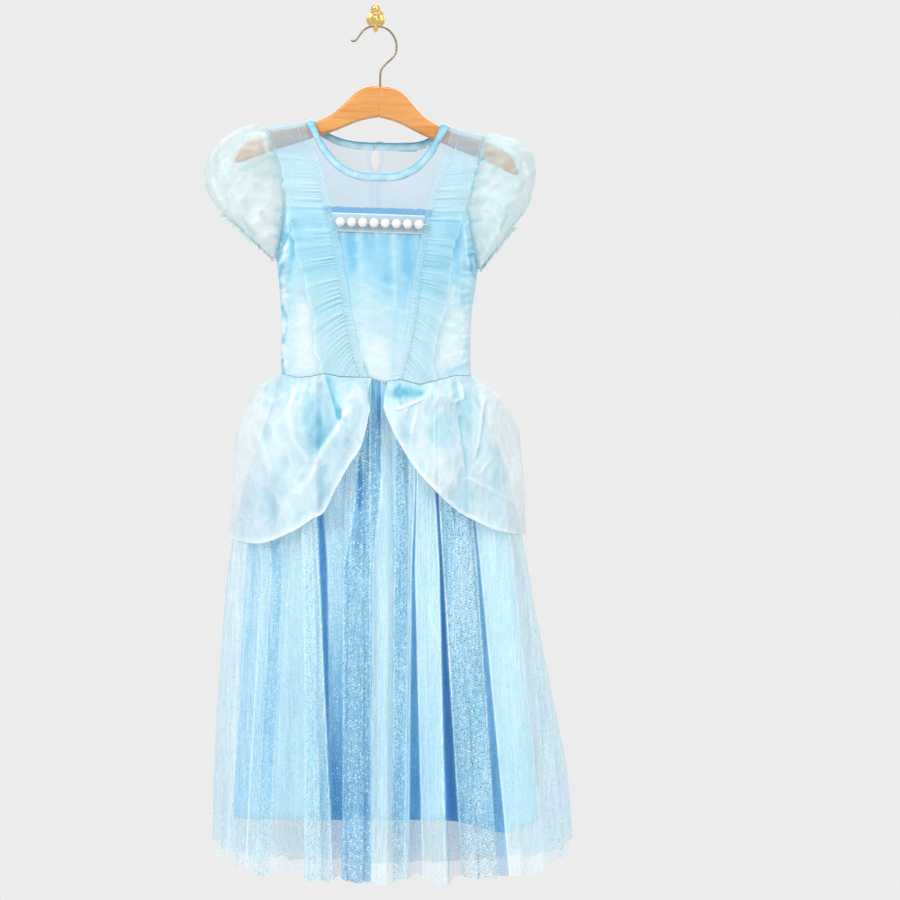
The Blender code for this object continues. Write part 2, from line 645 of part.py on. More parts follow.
def make_yoke():
    """Sheer net yoke: one front, and two backs that part in a keyhole below the neck."""
    def armhole_left(z):
        return read(ARMHOLES, "left", z)

    def armhole_right(z):
        return read(ARMHOLES, "right", z)

    def keyhole_half(z):
        share = (z - KEYHOLE_BOTTOM) / (KEYHOLE_TOP - KEYHOLE_BOTTOM)
        open_half = KEYHOLE_HALF * math.sqrt(math.sin(math.pi * share)) if 0 < share < 1 else 0.0
        return open_half + SEAM_GAP / 2

    def shoulder(hand):
        way = -1 if hand == "left" else 1
        neck_x = NECK_MIDDLE + way * (NECK_HALF + BINDING_WIDTH / 2 + SEAM_GAP)
        end_x = read(ARMHOLES, hand, ARMHOLES[0].z)
        return [(x, float(shoulder_top(x))) for x in np.linspace(end_x, neck_x, 4)[:-1]]

    def neck(turns):
        return [neck_point(turn, BINDING_WIDTH / 2 + SEAM_GAP)[::2] for turn in turns]

    quarter = quarter_turns()
    tops = shoulder("left") + neck(quarter) + neck(math.pi - quarter[-2::-1])
    heights = (0.0, 0.3, 0.6, 0.8, 0.91, 0.965, 0.99, 1.0)
    yoke_wall("yoke_front", 1, tops + shoulder("right")[::-1], armhole_left, armhole_right, heights)

    heights = (0.0, 0.3, 0.55, 0.7, 0.84, 0.95, 0.985, 1.0)
    tops = shoulder("left") + neck(-quarter_turns(BACK_SEAM_X))
    yoke_wall("yoke_back_left", -1, tops, armhole_left, lambda z: BACK_SEAM_X - keyhole_half(z),
              heights)
    tops = shoulder("right") + neck(math.pi + quarter_turns(BACK_SEAM_X, "right"))
    yoke_wall("yoke_back_right", -1, tops, armhole_right, lambda z: BACK_SEAM_X + keyhole_half(z),
              heights)


def make_neck_trims():
    """Binding round the neck, open at the back, with its loop, its button and a blank label."""
    half, end_gap = BINDING_WIDTH / 2, 0.4
    quarter = quarter_turns()
    turns = np.concatenate([-quarter_turns(BACK_SEAM_X - end_gap)[:0:-1], quarter,
                            math.pi - quarter[-2::-1],
                            math.pi + quarter_turns(BACK_SEAM_X + end_gap, "right")[1:]])
    rows = ((-half, 0.2), (0.0, BINDING_MIDDLE_OUT), (half, 0.2))
    outer = [[neck_point(turn, grow, out) for turn in turns] for grow, out in rows]
    cloth_wall("neck_binding", outer, BINDING_THICKNESS, "satin", 0.3)

    face_y = torso_y(BUTTON_X, BUTTON_Z, -1) + BINDING_MIDDLE_OUT + 1.5 * SEAM_GAP
    shank, rim = SHANK_DIAMETER / 2, BUTTON_DIAMETER / 2
    profile = ((shank, 0.0), (shank, SHANK_LENGTH), (rim - 0.8, SHANK_LENGTH),
               (rim, SHANK_LENGTH + 0.9), (rim, SHANK_LENGTH + 1.9),
               (rim - 1.2, SHANK_LENGTH + BUTTON_THICKNESS))
    points, faces = turned(profile, 16)
    points = [(BUTTON_X + x, face_y + y, BUTTON_Z + z) for x, y, z in points]
    add_piece("neck_button", points, faces, "horn", 0.3)
    loop_out = BINDING_MIDDLE_OUT + SEAM_GAP + LOOP_RADIUS
    path = [torso_point(BUTTON_X + x, BUTTON_Z + z, -1, loop_out)
            for x, z in smooth_path(LOOP_POINTS, 2)]
    points, faces = sweep(path, [LOOP_RADIUS] * len(path), 6, (0, 1, 0))
    add_piece("neck_loop", points, faces, "satin", 0.4)

    out = BINDING_MIDDLE_OUT + SEAM_GAP + LABEL_THICKNESS
    across = np.linspace(LABEL_X - LABEL_WIDTH / 2, LABEL_X + LABEL_WIDTH / 2, 4)
    outer = [[torso_point(x, z, -1, out) for x in across]
             for z in np.linspace(LABEL_TOP, LABEL_TOP - LABEL_DROP, 4)]
    cloth_wall("neck_label", outer, LABEL_THICKNESS, "white", 0.6)


def make_ruffles():
    """Two net ruffles: a narrow header and a wide flounce, gathered along one stitch line."""
    bend_share = 0.04
    for hand in ("left", "right"):
        columns = RUFFLE_GATHERS * 3 + 1
        outer = []
        for across, lift, wave in RUFFLE_ROWS:
            row = []
            for along in np.linspace(0, 1, columns):
                nominal = RUFFLE_LINES[0].z + (RUFFLE_LINES[-1].z - RUFFLE_LINES[0].z) * along
                stitch = read(RUFFLE_LINES, hand, nominal)
                edge = read(RUFFLE_LINES, hand + "_edge", nominal)
                if across < 0:
                    x = stitch - math.copysign(RUFFLE_HEADER, edge - stitch) * -across
                else:
                    x = stitch + (edge - stitch) * across
                top = shoulder_top(x)
                if along < bend_share:
                    z = top - SHOULDER_BEND * (1 - math.cos(along / bend_share * math.pi / 2))
                else:
                    share = (along - bend_share) / (1 - bend_share)
                    z = top - SHOULDER_BEND + (WAIST + 1.2 - top + SHOULDER_BEND) * share
                out = lift + wave * math.sin(2 * math.pi * RUFFLE_GATHERS * along)
                row.append(torso_point(x, z, 1, out))
            outer.append(row)
        cloth_wall(f"ruffle_{hand}", outer, NET, "net", 0.6)


def make_sleeves():
    """Puff sleeves: gathered into the armhole and into an elastic, with a small frill below."""
    columns = SLEEVE_GATHERS * 4
    for hand, way in (("left", -1), ("right", 1)):
        top_x = read(ARMHOLES, hand, ARMHOLES[0].z)
        top_z = float(shoulder_top(top_x))
        bottom = ARMHOLE_BOTTOM[hand]
        under = armhole_point(hand, 1, bottom) + (way * SLEEVE_SET_OUT, 0.0, 0.0)

        def plain_point(along, turn):
            crown = np.array((read(SLEEVE_ROWS, hand + "_x", along), MID_Y,
                              read(SLEEVE_ROWS, hand + "_z", along)))
            low = under + np.array((UNDERARM[hand][0], 0.0, UNDERARM[hand][1])) * along
            low[1] = MID_Y
            point = crown + (low - crown) * (1 - math.cos(turn)) / 2
            column, side = ("front", -1) if math.sin(turn) >= 0 else ("back", 1)
            point[1] += side * read(SLEEVE_ROWS, column, along) * abs(math.sin(turn)) ** 0.85
            return point

        outer = []
        gathers = []
        for along in (0.0, 0.1, 0.28, 0.5, 0.72, 0.9, 1.0):
            row = []
            for step in range(columns):
                turn = 2 * math.pi * step / columns
                side = 1 if math.sin(turn) >= 0 else -1
                edge = armhole_point(hand, side, top_z + (bottom - top_z) * (1 - math.cos(turn)) / 2)
                edge[0] += way * SLEEVE_SET_OUT
                settle = max(1 - along / 0.3, 0.0) ** 2
                row.append(plain_point(along, turn) + (edge - plain_point(0.0, turn)) * settle)
            outer.append(row)
            gathers.append(read(SLEEVE_ROWS, "gather", along))
        cuff = np.array(outer[-1])
        line = cuff[columns // 2] - cuff[0]
        out_way = np.array((line[2] * -way, 0.0, line[0] * way))
        out_way /= np.linalg.norm(out_way)
        radial = cuff - cuff.mean(axis=0)
        radial /= np.linalg.norm(radial, axis=1, keepdims=True)
        outer.append(cuff + out_way * SLEEVE_FRILL + radial * SLEEVE_FRILL_FLARE)
        gathers.append(SLEEVE_FRILL_WAVE)
        outer = np.array(outer)
        waves = np.cos(2 * math.pi * SLEEVE_GATHERS * np.arange(columns) / columns)
        outer += wall_normals(outer, True) * np.array(gathers)[:, None, None] * waves[None, :, None]
        cloth_wall(f"sleeve_{hand}", outer, ORGANZA, "organza", 0.5, closed=True)


def fold_lift(x, z, angle):
    """How far the net skirt's folds stand out of its ring, at a place of the ring."""
    grow = np.interp(z, (FOLD_HEM, FOLD_TOP, SKIRT_TOP), (1.0, 0.5, 0.08))
    lift = 0.0
    if math.sin(angle) < 0:
        lift = BACK_FOLD_HEIGHT * (0.5 - 0.5 * math.cos(2 * BACK_FOLDS * angle))
    else:
        for fold in FRONT_FOLDS:
            places = (fold.hem_x, fold.top_x, fold.top_x * WAIST_SHARE)
            halves = (fold.hem_half, fold.top_half, fold.top_half * WAIST_SHARE)
            place = np.interp(z, (FOLD_HEM, FOLD_TOP, SKIRT_TOP), places)
            half = np.interp(z, (FOLD_HEM, FOLD_TOP, SKIRT_TOP), halves)
            lift += fold.height * math.exp(-0.7 * ((x - place) / half) ** 4)
    return lift * grow * min(abs(math.sin(angle)) * 3, 1.0)


def net_hem(angle):
    middle = NET_HEM_FRONT if math.sin(angle) >= 0 else NET_HEM_BACK
    return middle + (NET_HEM_SIDE - middle) * (1 - abs(math.sin(angle))) ** 1.2


def lining_hem(angle):
    x = ring_point(LINING, LINING_HEM, angle)[0]
    dip = LINING_DIP * math.exp(-((x - LINING_DIP_X) / LINING_DIP_HALF) ** 2)
    return LINING_HEM - dip * max(math.sin(angle), 0.0)


def skirt_wall(name, sections, angles, heights, hem, fold_share, thickness, colour, roughness):
    """A skirt panel: rings from the waist to the hem, with a share of the folds."""
    outer = []
    for v in heights:
        row = []
        for angle in angles:
            z = SKIRT_TOP + (hem(angle) - SKIRT_TOP) * v
            x = ring_point(sections, z, angle)[0]
            x, y = ring_point(sections, z, angle, fold_lift(x, z, angle) * fold_share)
            row.append((x, y, z))
        outer.append(row)
    cloth_wall(name, outer, thickness, colour, roughness)


def make_skirt():
    """A front and a back of each layer, joined at the sides."""
    net_heights = (0.0, 0.06, 0.17, 0.33, 0.5, 0.67, 0.84, 1.0)
    lining_heights = (0.0, 0.08, 0.26, 0.52, 0.78, 1.0)
    for half, start in (("front", 0.0), ("back", -math.pi)):
        net_columns, lining_columns = (73, 37) if half == "front" else (37, 19)
        angles = np.linspace(start + SEAM_TURN, start + math.pi - SEAM_TURN, net_columns)
        skirt_wall(f"skirt_net_{half}", NET_SKIRT, angles, net_heights, net_hem, 1.0, NET, "net", 0.6)
        angles = np.linspace(start + SEAM_TURN, start + math.pi - SEAM_TURN, lining_columns)
        share = LINING_FOLD_SHARE if half == "front" else 0.0
        skirt_wall(f"skirt_lining_{half}", LINING, angles, lining_heights, lining_hem, share, SATIN,
                   "satin", 0.35)


def make_overskirt():
    """Two organza drapes over the hips, gathered at the waist, with a curved edge all round."""
    heights = (0.0, 0.08, 0.25, 0.6, 1.0)
    gathers = (0.0, 1.0, 0.75, 0.4, 0.25)
    turns = [row.turn for row in DRAPE_EDGES]
    columns = 41
    for hand in ("left", "right"):
        places = np.interp(np.linspace(0, 1, columns), np.linspace(0, 1, len(turns)), turns)
        outer = []
        for v, gather in zip(heights, gathers):
            row = []
            for u, turn in zip(np.linspace(0, 1, columns), places):
                edge = read(DRAPE_EDGES, hand, turn)
                z = SKIRT_TOP + (edge - SKIRT_TOP) * v
                wave = 0.5 - 0.5 * math.cos(2 * math.pi * DRAPE_GATHERS * u)
                wave *= 1.0 if turn > 0 else DRAPE_BACK_SHARE
                angle = turn_angle(hand, 1, math.radians(turn))
                x, y = ring_point(DRAPE, z, angle, -DRAPE_GATHER_DEPTH * gather * wave)
                row.append((x, y, z))
            outer.append(row)
        cloth_wall(f"drape_{hand}", outer, ORGANZA, "organza", 0.5)


def make_pearl_band():
    """A pale band between the ruffles' headers, and the pearls sewn on it."""
    margin = 1.2
    outer = []
    for z in np.linspace(BAND_TOP, BAND_BOTTOM, 3):
        left = read(RUFFLE_LINES, "left", z) + RUFFLE_HEADER + margin
        right = read(RUFFLE_LINES, "right", z) - RUFFLE_HEADER - margin
        row = []
        for x in np.linspace(left, right, 9):
            height = z - PEARL_TILT * x
            row.append(torso_point(x, height, 1, SEAM_GAP + BAND_THICKNESS))
        outer.append(row)
    cloth_wall("pearl_band", outer, BAND_THICKNESS, "white", 0.4)
    for index in range(PEARL_COUNT):
        x = PEARL_FIRST_X + PEARL_PITCH * index
        z = PEARL_Z - PEARL_TILT * x
        out = 2 * SEAM_GAP + BAND_THICKNESS + PEARL_DIAMETER / 2
        shape = bmesh.new()
        bmesh.ops.create_icosphere(shape, subdivisions=2, radius=PEARL_DIAMETER / 2)
        points = [np.array(vertex.co) + torso_point(x, z, 1, out) for vertex in shape.verts]
        faces = [[vertex.index for vertex in face.verts] for face in shape.faces]
        shape.free()
        add_piece(f"pearl_{index + 1}", points, faces, "white", 0.2)


for old in list(bpy.data.objects):
    bpy.data.objects.remove(old, do_unlink=True)
make_wall_hook()
make_hanger()
make_bodice()
make_yoke()
make_neck_trims()
make_ruffles()
make_pearl_band()
make_sleeves()
make_skirt()
make_overskirt()
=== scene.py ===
"""The look of a child's princess costume dress on a wooden hanger and a brass wall hook.

Metres, +Z up, the wall behind at y = 0 and the dress's front towards -Y. Sizes and tables
of the cloth are in millimetres, as they are in the part's source.
"""
import math
from collections import namedtuple

import bmesh
import bpy
import numpy as np
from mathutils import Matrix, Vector


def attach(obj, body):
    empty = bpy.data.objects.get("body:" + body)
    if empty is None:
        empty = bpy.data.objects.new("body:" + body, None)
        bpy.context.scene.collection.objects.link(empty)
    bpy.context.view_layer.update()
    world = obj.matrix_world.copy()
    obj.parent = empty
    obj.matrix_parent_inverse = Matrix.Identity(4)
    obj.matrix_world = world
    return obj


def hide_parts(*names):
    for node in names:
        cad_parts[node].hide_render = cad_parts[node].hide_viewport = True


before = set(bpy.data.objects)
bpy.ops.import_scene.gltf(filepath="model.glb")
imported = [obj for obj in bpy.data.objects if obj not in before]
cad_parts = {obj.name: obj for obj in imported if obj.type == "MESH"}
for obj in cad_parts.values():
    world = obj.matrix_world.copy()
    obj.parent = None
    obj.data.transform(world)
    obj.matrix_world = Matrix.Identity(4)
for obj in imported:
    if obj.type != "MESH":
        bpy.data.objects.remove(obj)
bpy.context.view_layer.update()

# ---------------------------------------------------------------- Camera, light and floor
# The photo is taken straight on with a long lens, in a white studio with large soft lights.
# The object hangs, so the floor lies well below the hem.
FLOOR_Z = -1.36
scene = bpy.context.scene
scene.view_settings.view_transform = "Standard"
scene.view_settings.look = "None"

world = bpy.data.worlds.new("studio")
world.use_nodes = True
world.node_tree.nodes["Background"].inputs["Color"].default_value = (0.84, 0.84, 0.84, 1.0)
world.node_tree.nodes["Background"].inputs["Strength"].default_value = 1.0
scene.world = world

VIEW_CENTRE = Vector((0.0894, -0.055, -0.5202))
VIEW_WIDTH = 1.08
CAMERA_DISTANCE = 10.0
camera = bpy.data.cameras.new("camera")
camera.sensor_width = 36.0
camera.lens = camera.sensor_width * CAMERA_DISTANCE / VIEW_WIDTH
camera.clip_end = 100.0
camera_object = bpy.data.objects.new("camera", camera)
camera_object.location = VIEW_CENTRE - Vector((0.0, CAMERA_DISTANCE, 0.0))
camera_object.rotation_euler = (math.radians(90.0), 0.0, 0.0)
scene.collection.objects.link(camera_object)
scene.camera = camera_object

for light_name, place, width, power in (
        ("softbox_left", (-2.3, -2.6, 1.5), 1.5, 83.0),
        ("softbox_right", (2.4, -2.8, 0.6), 1.8, 32.0),
        ("softbox_top", (0.3, -1.0, 2.4), 1.2, 29.0),
        ("softbox_back", (0.2, 2.6, 1.2), 2.4, 42.0)):
    light = bpy.data.lights.new(light_name, "AREA")
    light.shape = "SQUARE"
    light.size = width
    light.energy = power
    light_object = bpy.data.objects.new(light_name, light)
    light_object.location = place
    aim = VIEW_CENTRE - Vector(place)
    light_object.rotation_euler = aim.to_track_quat("-Z", "Y").to_euler()
    scene.collection.objects.link(light_object)


def new_material(name, roughness, **sockets):
    """A material with one Principled shader; the sockets named are set on it."""
    material = bpy.data.materials.new(name)
    material.use_nodes = True
    shader = material.node_tree.nodes["Principled BSDF"]
    shader.inputs["Roughness"].default_value = roughness
    for socket, value in sockets.items():
        shader.inputs[socket.replace("_", " ")].default_value = value
    return material, material.node_tree, shader


bpy.ops.object.select_all(action="DESELECT")
bpy.ops.mesh.primitive_circle_add(vertices=96, radius=2.0, fill_type="NGON",
                                  location=(0, 0, FLOOR_Z))
floor = bpy.context.object
floor.name = "studio_floor"
floor_material, tree, shader = new_material("pale floor", 0.7)
shader.inputs["Base Color"].default_value = (0.74, 0.74, 0.74, 1.0)
floor.data.materials.append(floor_material)


# ---------------------------------------------------------------- Wall hook
# A small brass coat hook: a turned rosette screwed flat to the wall, and a cast arm that
# swings down and forwards and ends in a neck and a polished ball.
MM = 0.001


def add_node(tree, kind, settings=None, **inputs):
    """A shader node, with its settings and with values or links on its named sockets."""
    made = tree.nodes.new("ShaderNode" + kind)
    for setting, value in (settings or {}).items():
        setattr(made, setting, value)
    for key, value in inputs.items():
        socket = made.inputs[key.replace("_", " ")]
        if isinstance(value, bpy.types.NodeSocket):
            tree.links.new(value, socket)
        else:
            socket.default_value = value
    return made


def calculate(tree, operation, first, second=0.0, third=0.0):
    """One step of arithmetic between values or sockets."""
    made = tree.nodes.new("ShaderNodeMath")
    made.operation = operation
    for index, value in enumerate((first, second, third)):
        if isinstance(value, bpy.types.NodeSocket):
            tree.links.new(value, made.inputs[index])
        else:
            made.inputs[index].default_value = value
    return made.outputs[0]


def tone_ramp(tree, factor, *stops):
    """Colours read along a ramp; each stop is a place and a linear colour."""
    made = tree.nodes.new("ShaderNodeValToRGB")
    elements = made.color_ramp.elements
    while len(elements) < len(stops):
        elements.new(0.5)
    for element, (place, colour) in zip(elements, stops):
        element.position = place
        element.color = (*colour, 1.0)
    tree.links.new(factor, made.inputs["Fac"])
    return made.outputs["Color"]


def surface_place(tree, scale, source="Object"):
    """Object or UV coordinates, stretched by a scale on each axis."""
    place = tree.nodes.new("ShaderNodeTexCoord")
    return add_node(tree, "Mapping", Vector=place.outputs[source], Scale=scale).outputs["Vector"]


def noise(tree, scale, source="Object", **settings):
    """Cloudy noise, stretched by a scale on each axis."""
    place = surface_place(tree, scale, source)
    return add_node(tree, "TexNoise", Vector=place, **settings).outputs["Fac"]


def colour(tree, shader, factor, *stops):
    """The surface's colour, read along a ramp."""
    tree.links.new(tone_ramp(tree, factor, *stops), shader.inputs["Base Color"])


def mottled_material(name, roughness, scale, detail, *stops, **sockets):
    """A material clouded between two colours."""
    material, tree, shader = new_material(name, roughness, **sockets)
    clouds = noise(tree, (scale,) * 3, Detail=detail)
    colour(tree, shader, clouds, *stops)
    return material, tree, shader, clouds


def grid_piece(name, points, closed=False, **values):
    """A sheet with rows from top to bottom and columns across, moved from a plain grid.

    Its UV map is in metres along the cloth, so that a weave keeps its scale. The values are
    numbers for each of its points, which its material reads by their names.
    """
    points = np.array(points, dtype=float) * MM
    if closed:
        points = np.concatenate([points, points[:, :1]], axis=1)
    rows, columns = points.shape[:2]
    cut = np.zeros((rows, columns, 2))
    cut[:, 1:, 0] = np.cumsum(np.linalg.norm(np.diff(points, axis=1), axis=2), axis=1)
    cut[1:, :, 1] = -np.cumsum(np.linalg.norm(np.diff(points, axis=0), axis=2), axis=0)
    cut[..., 0] -= cut[:, columns // 2, 0][:, None]
    bpy.ops.object.select_all(action="DESELECT")
    bpy.ops.mesh.primitive_grid_add(x_subdivisions=columns - 1, y_subdivisions=rows - 1, size=1.0)
    piece = bpy.context.object
    piece.name = piece.data.name = name
    mesh = piece.data
    places = np.empty(len(mesh.vertices) * 3)
    mesh.vertices.foreach_get("co", places)
    places = places.reshape(-1, 3)
    column = np.rint((places[:, 0] + 0.5) * (columns - 1)).astype(int)
    row = np.rint((0.5 - places[:, 1]) * (rows - 1)).astype(int)
    mesh.vertices.foreach_set("co", points[row, column].ravel())
    corners = np.empty(len(mesh.loops), dtype=np.int32)
    mesh.loops.foreach_get("vertex_index", corners)
    mesh.uv_layers.active.data.foreach_set("uv", cut[row, column][corners].ravel())
    for value_name, numbers in values.items():
        numbers = np.broadcast_to(numbers, (rows, columns - 1 if closed else columns))
        attribute = mesh.attributes.new(value_name, "FLOAT", "POINT")
        numbers = numbers[row, column % numbers.shape[1]].astype(np.float32)
        attribute.data.foreach_set("value", numbers)
    if closed:
        bpy.ops.object.mode_set(mode="EDIT")
        bpy.ops.mesh.select_all(action="SELECT")
        bpy.ops.mesh.remove_doubles(threshold=0.00002)
        bpy.ops.object.mode_set(mode="OBJECT")
    mesh.update()
    mesh.shade_smooth()
    return piece


def close_ends(piece):
    """Close both ends of a turned or drawn form, with its faces outwards."""
    bpy.ops.object.mode_set(mode="EDIT")
    bpy.ops.mesh.select_all(action="SELECT")
    bpy.ops.mesh.region_to_loop()
    bpy.ops.mesh.edge_face_add()
    bpy.ops.mesh.select_all(action="SELECT")
    bpy.ops.mesh.normals_make_consistent(inside=False)
    bpy.ops.object.mode_set(mode="OBJECT")
    return piece


def fit_piece(piece, slot, material, *nodes):
    """Put a finished piece on the part: its material, its body and what it replaces. Its slot is
    not used.
    """
    piece.data.materials.clear()
    piece.data.materials.append(material)
    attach(piece, "root")
    if nodes:
        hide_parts(*nodes)
    return piece


def smooth_path(points, steps):
    """A smooth curve through given points, with a few steps between each two."""
    axes = np.array(points, dtype=float)
    slopes = np.gradient(axes, axis=0)
    path = []
    for place in np.linspace(0, len(axes) - 1, (len(axes) - 1) * steps + 1):
        low = min(int(place), len(axes) - 2)
        t = place - low
        path.append(axes[low] * (1 + 2 * t) * (1 - t) ** 2 + axes[low + 1] * t * t * (3 - 2 * t)
                    + slopes[low] * t * (1 - t) ** 2 - slopes[low + 1] * t * t * (1 - t))
    return np.array(path)


def tube_piece(name, points, radii, sides, across, **values):
    """A rod or cord round a path, closed at its ends; across lies out of the path's plane."""
    points = np.array(points, dtype=float)
    aside = np.cross(np.array(across, dtype=float), np.gradient(points, axis=0))
    aside /= np.linalg.norm(aside, axis=1, keepdims=True)
    turns = np.linspace(0, 2 * math.pi, sides, endpoint=False)
    rise = np.outer(np.sin(turns), across)
    rings = np.array([point + radius * (np.outer(np.cos(turns), way) + rise)
                      for point, radius, way in zip(points, radii, aside)])
    return close_ends(grid_piece(name, rings, closed=True, **values))


brass, tree, shader, clouds = mottled_material(
    "polished brass", 0.2, 90.0, 4.0, (0.3, (0.62, 0.40, 0.11)), (0.7, (0.86, 0.62, 0.25)),
    Metallic=1.0)
tree.links.new(calculate(tree, "MULTIPLY_ADD", clouds, 0.22, 0.1), shader.inputs["Roughness"])

PLATE_PROFILE = ((11.5, 0.0), (11.5, -1.3), (11.1, -1.9), (10.2, -2.3), (9.4, -2.2), (8.8, -2.5),
                 (7.4, -3.3), (5.4, -3.8), (3.6, -4.0))
bpy.ops.object.select_all(action="DESELECT")
round_plate = np.linspace(0, -2 * math.pi, 64, endpoint=False)
turned = [[(r * math.cos(t), y, r * math.sin(t)) for t in round_plate]
          for r, y in smooth_path(PLATE_PROFILE, 3)]
plate = close_ends(grid_piece("hook_rosette", turned, closed=True))
plate.data.set_sharp_from_angle(angle=math.radians(40))
fit_piece(plate, "brass", brass, "hook_plate")

ARM_PATH = ((-4.4, -1.2, 3.6), (-7.0, -1.2, 3.0), (-11.0, -4.0, 2.9), (-16.0, -8.2, 2.9),
            (-22.0, -13.0, 3.0), (-28.0, -15.0, 3.0), (-33.5, -13.2, 3.0), (-37.2, -8.4, 2.9),
            (-38.5, -2.0, 2.7), (-38.5, 2.2, 2.5), (-38.5, 3.2, 4.2), (-38.5, 4.9, 4.3),
            (-38.5, 5.7, 3.0))       # y, z and radius
BALL_RADIUS = 5.75
BALL_Y = -38.5
BALL_Z = 10.6
arm_path = [tuple(point) for point in smooth_path(ARM_PATH, 4)]
for turn in np.linspace(math.asin(3.0 / BALL_RADIUS), math.pi - 0.06, 14):
    arm_path.append((BALL_Y, BALL_Z - BALL_RADIUS * math.cos(turn), BALL_RADIUS * math.sin(turn)))
arm = tube_piece("hook_arm_and_ball", [(0.0, y, z) for y, z, _ in arm_path],
                 [r for _, _, r in arm_path], 24, (1.0, 0.0, 0.0))
fit_piece(arm, "brass", brass, "hook_arm")

# ---------------------------------------------------------------- Hanger
# A child's hanger: two beech arms glued at the middle, lacquered, with a hook of dark drawn
# wire turned into their joint.
HANGER_Y = -28.0
WIRE_PATH = ((5.5, -83.0), (5.5, -72.0), (6.6, -62.9), (12.0, -55.9), (18.8, -49.8), (23.2, -44.0),
             (25.1, -37.0), (24.6, -29.5), (21.2, -21.5), (16.0, -15.3), (9.5, -11.7), (2.0, -10.4),
             (-4.5, -10.4), (-10.5, -12.4), (-15.8, -16.4), (-20.0, -21.8), (-23.4, -26.4),
             (-26.2, -28.3), (-30.0, -26.8))
WIRE_RADIUS = 1.25
steel, tree, shader = new_material("dark drawn wire", 0.3, Metallic=1.0)
colour(tree, shader, noise(tree, (300.0, 300.0, 60.0), Detail=3.0),
       (0.3, (0.17, 0.13, 0.08)), (0.7, (0.36, 0.29, 0.20)))
wire_points = smooth_path(WIRE_PATH, 6)
wire_radii = np.full(len(wire_points), WIRE_RADIUS)
wire_radii[-3:] = (1.2, 0.95, 0.5)
wire = tube_piece("hanger_hook", [(x, HANGER_Y, z) for x, z in wire_points], wire_radii, 12,
                  (0.0, 1.0, 0.0))
fit_piece(wire, "steel_wire", steel, "hanger_wire")

WoodStation = namedtuple("WoodStation", "reach top bottom")
WOOD_STATIONS = (
    WoodStation(0, 0, -38), WoodStation(12, -1, -40.5), WoodStation(20, -3.4, -42.6),
    WoodStation(30, -9.8, -46.4), WoodStation(42, -22.6, -52), WoodStation(54, -34, -57.4),
    WoodStation(70, -43.6, -63.3), WoodStation(96, -53.6, -73), WoodStation(133, -61.5, -86.4),
    WoodStation(152, -70.5, -94.5), WoodStation(164, -81, -99.5), WoodStation(171, -93, -101.6),
)
WOOD_CENTRE_X = 5.4
WOOD_CENTRE_Z = -82.0
WOOD_THICKNESS = 12.0
HANGER_TILT = math.radians(2.5)


def read(table, column, at):
    """A column's value at a place of the first column, smooth between the table's rows."""
    rows = sorted(table, key=lambda row: row[0])
    keys = np.array([row[0] for row in rows])
    values = np.array([getattr(row, column) for row in rows])
    slopes = np.gradient(values, keys)
    at = np.clip(at, keys[0], keys[-1])
    low = np.clip(np.searchsorted(keys, at) - 1, 0, len(keys) - 2)
    span = keys[low + 1] - keys[low]
    t = (at - keys[low]) / span
    return (values[low] * (1 + 2 * t) * (1 - t) ** 2 + values[low + 1] * t * t * (3 - 2 * t)
            + span * (slopes[low] * t * (1 - t) ** 2 - slopes[low + 1] * t * t * (1 - t)))


def unit(value):
    """A value kept between 0 and 1."""
    return np.clip(value, 0.0, 1.0)


def put_bump(tree, shader, height, strength, distance):
    """Fine relief from a height, on the shader's normal."""
    bump = add_node(tree, "Bump", Height=height, Strength=strength, Distance=distance)
    tree.links.new(bump.outputs["Normal"], shader.inputs["Normal"])


beech, tree, shader = new_material("lacquered beech", 0.32, Coat_Weight=0.35, Coat_Roughness=0.15)
grain = noise(tree, (9.0, 60.0, 90.0), Scale=1.0, Detail=7.0, Roughness=0.62, Distortion=0.9)
fleck = noise(tree, (60.0, 700.0, 900.0), Scale=1.0, Detail=2.0)
mixed = calculate(tree, "MULTIPLY_ADD", fleck, 0.3, grain)
colour(tree, shader, mixed, (0.42, (0.43, 0.15, 0.024)), (0.6, (0.55, 0.23, 0.052)),
       (0.8, (0.63, 0.295, 0.085)))
put_bump(tree, shader, mixed, 0.12, 0.0006)
WOOD_TIP = WOOD_STATIONS[-1].reach
WOOD_CORNER = 4.6
TIP_ROUND = 5.0                 # how far before its tip an arm starts to round
turns = np.linspace(0, 2 * math.pi, 56, endpoint=False)
sine, cosine = np.sin(turns), np.cos(turns)
sine_way = np.sign(sine) * (np.abs(sine) > 1e-6)
cosine_way = np.sign(cosine) * (np.abs(cosine) > 1e-6)
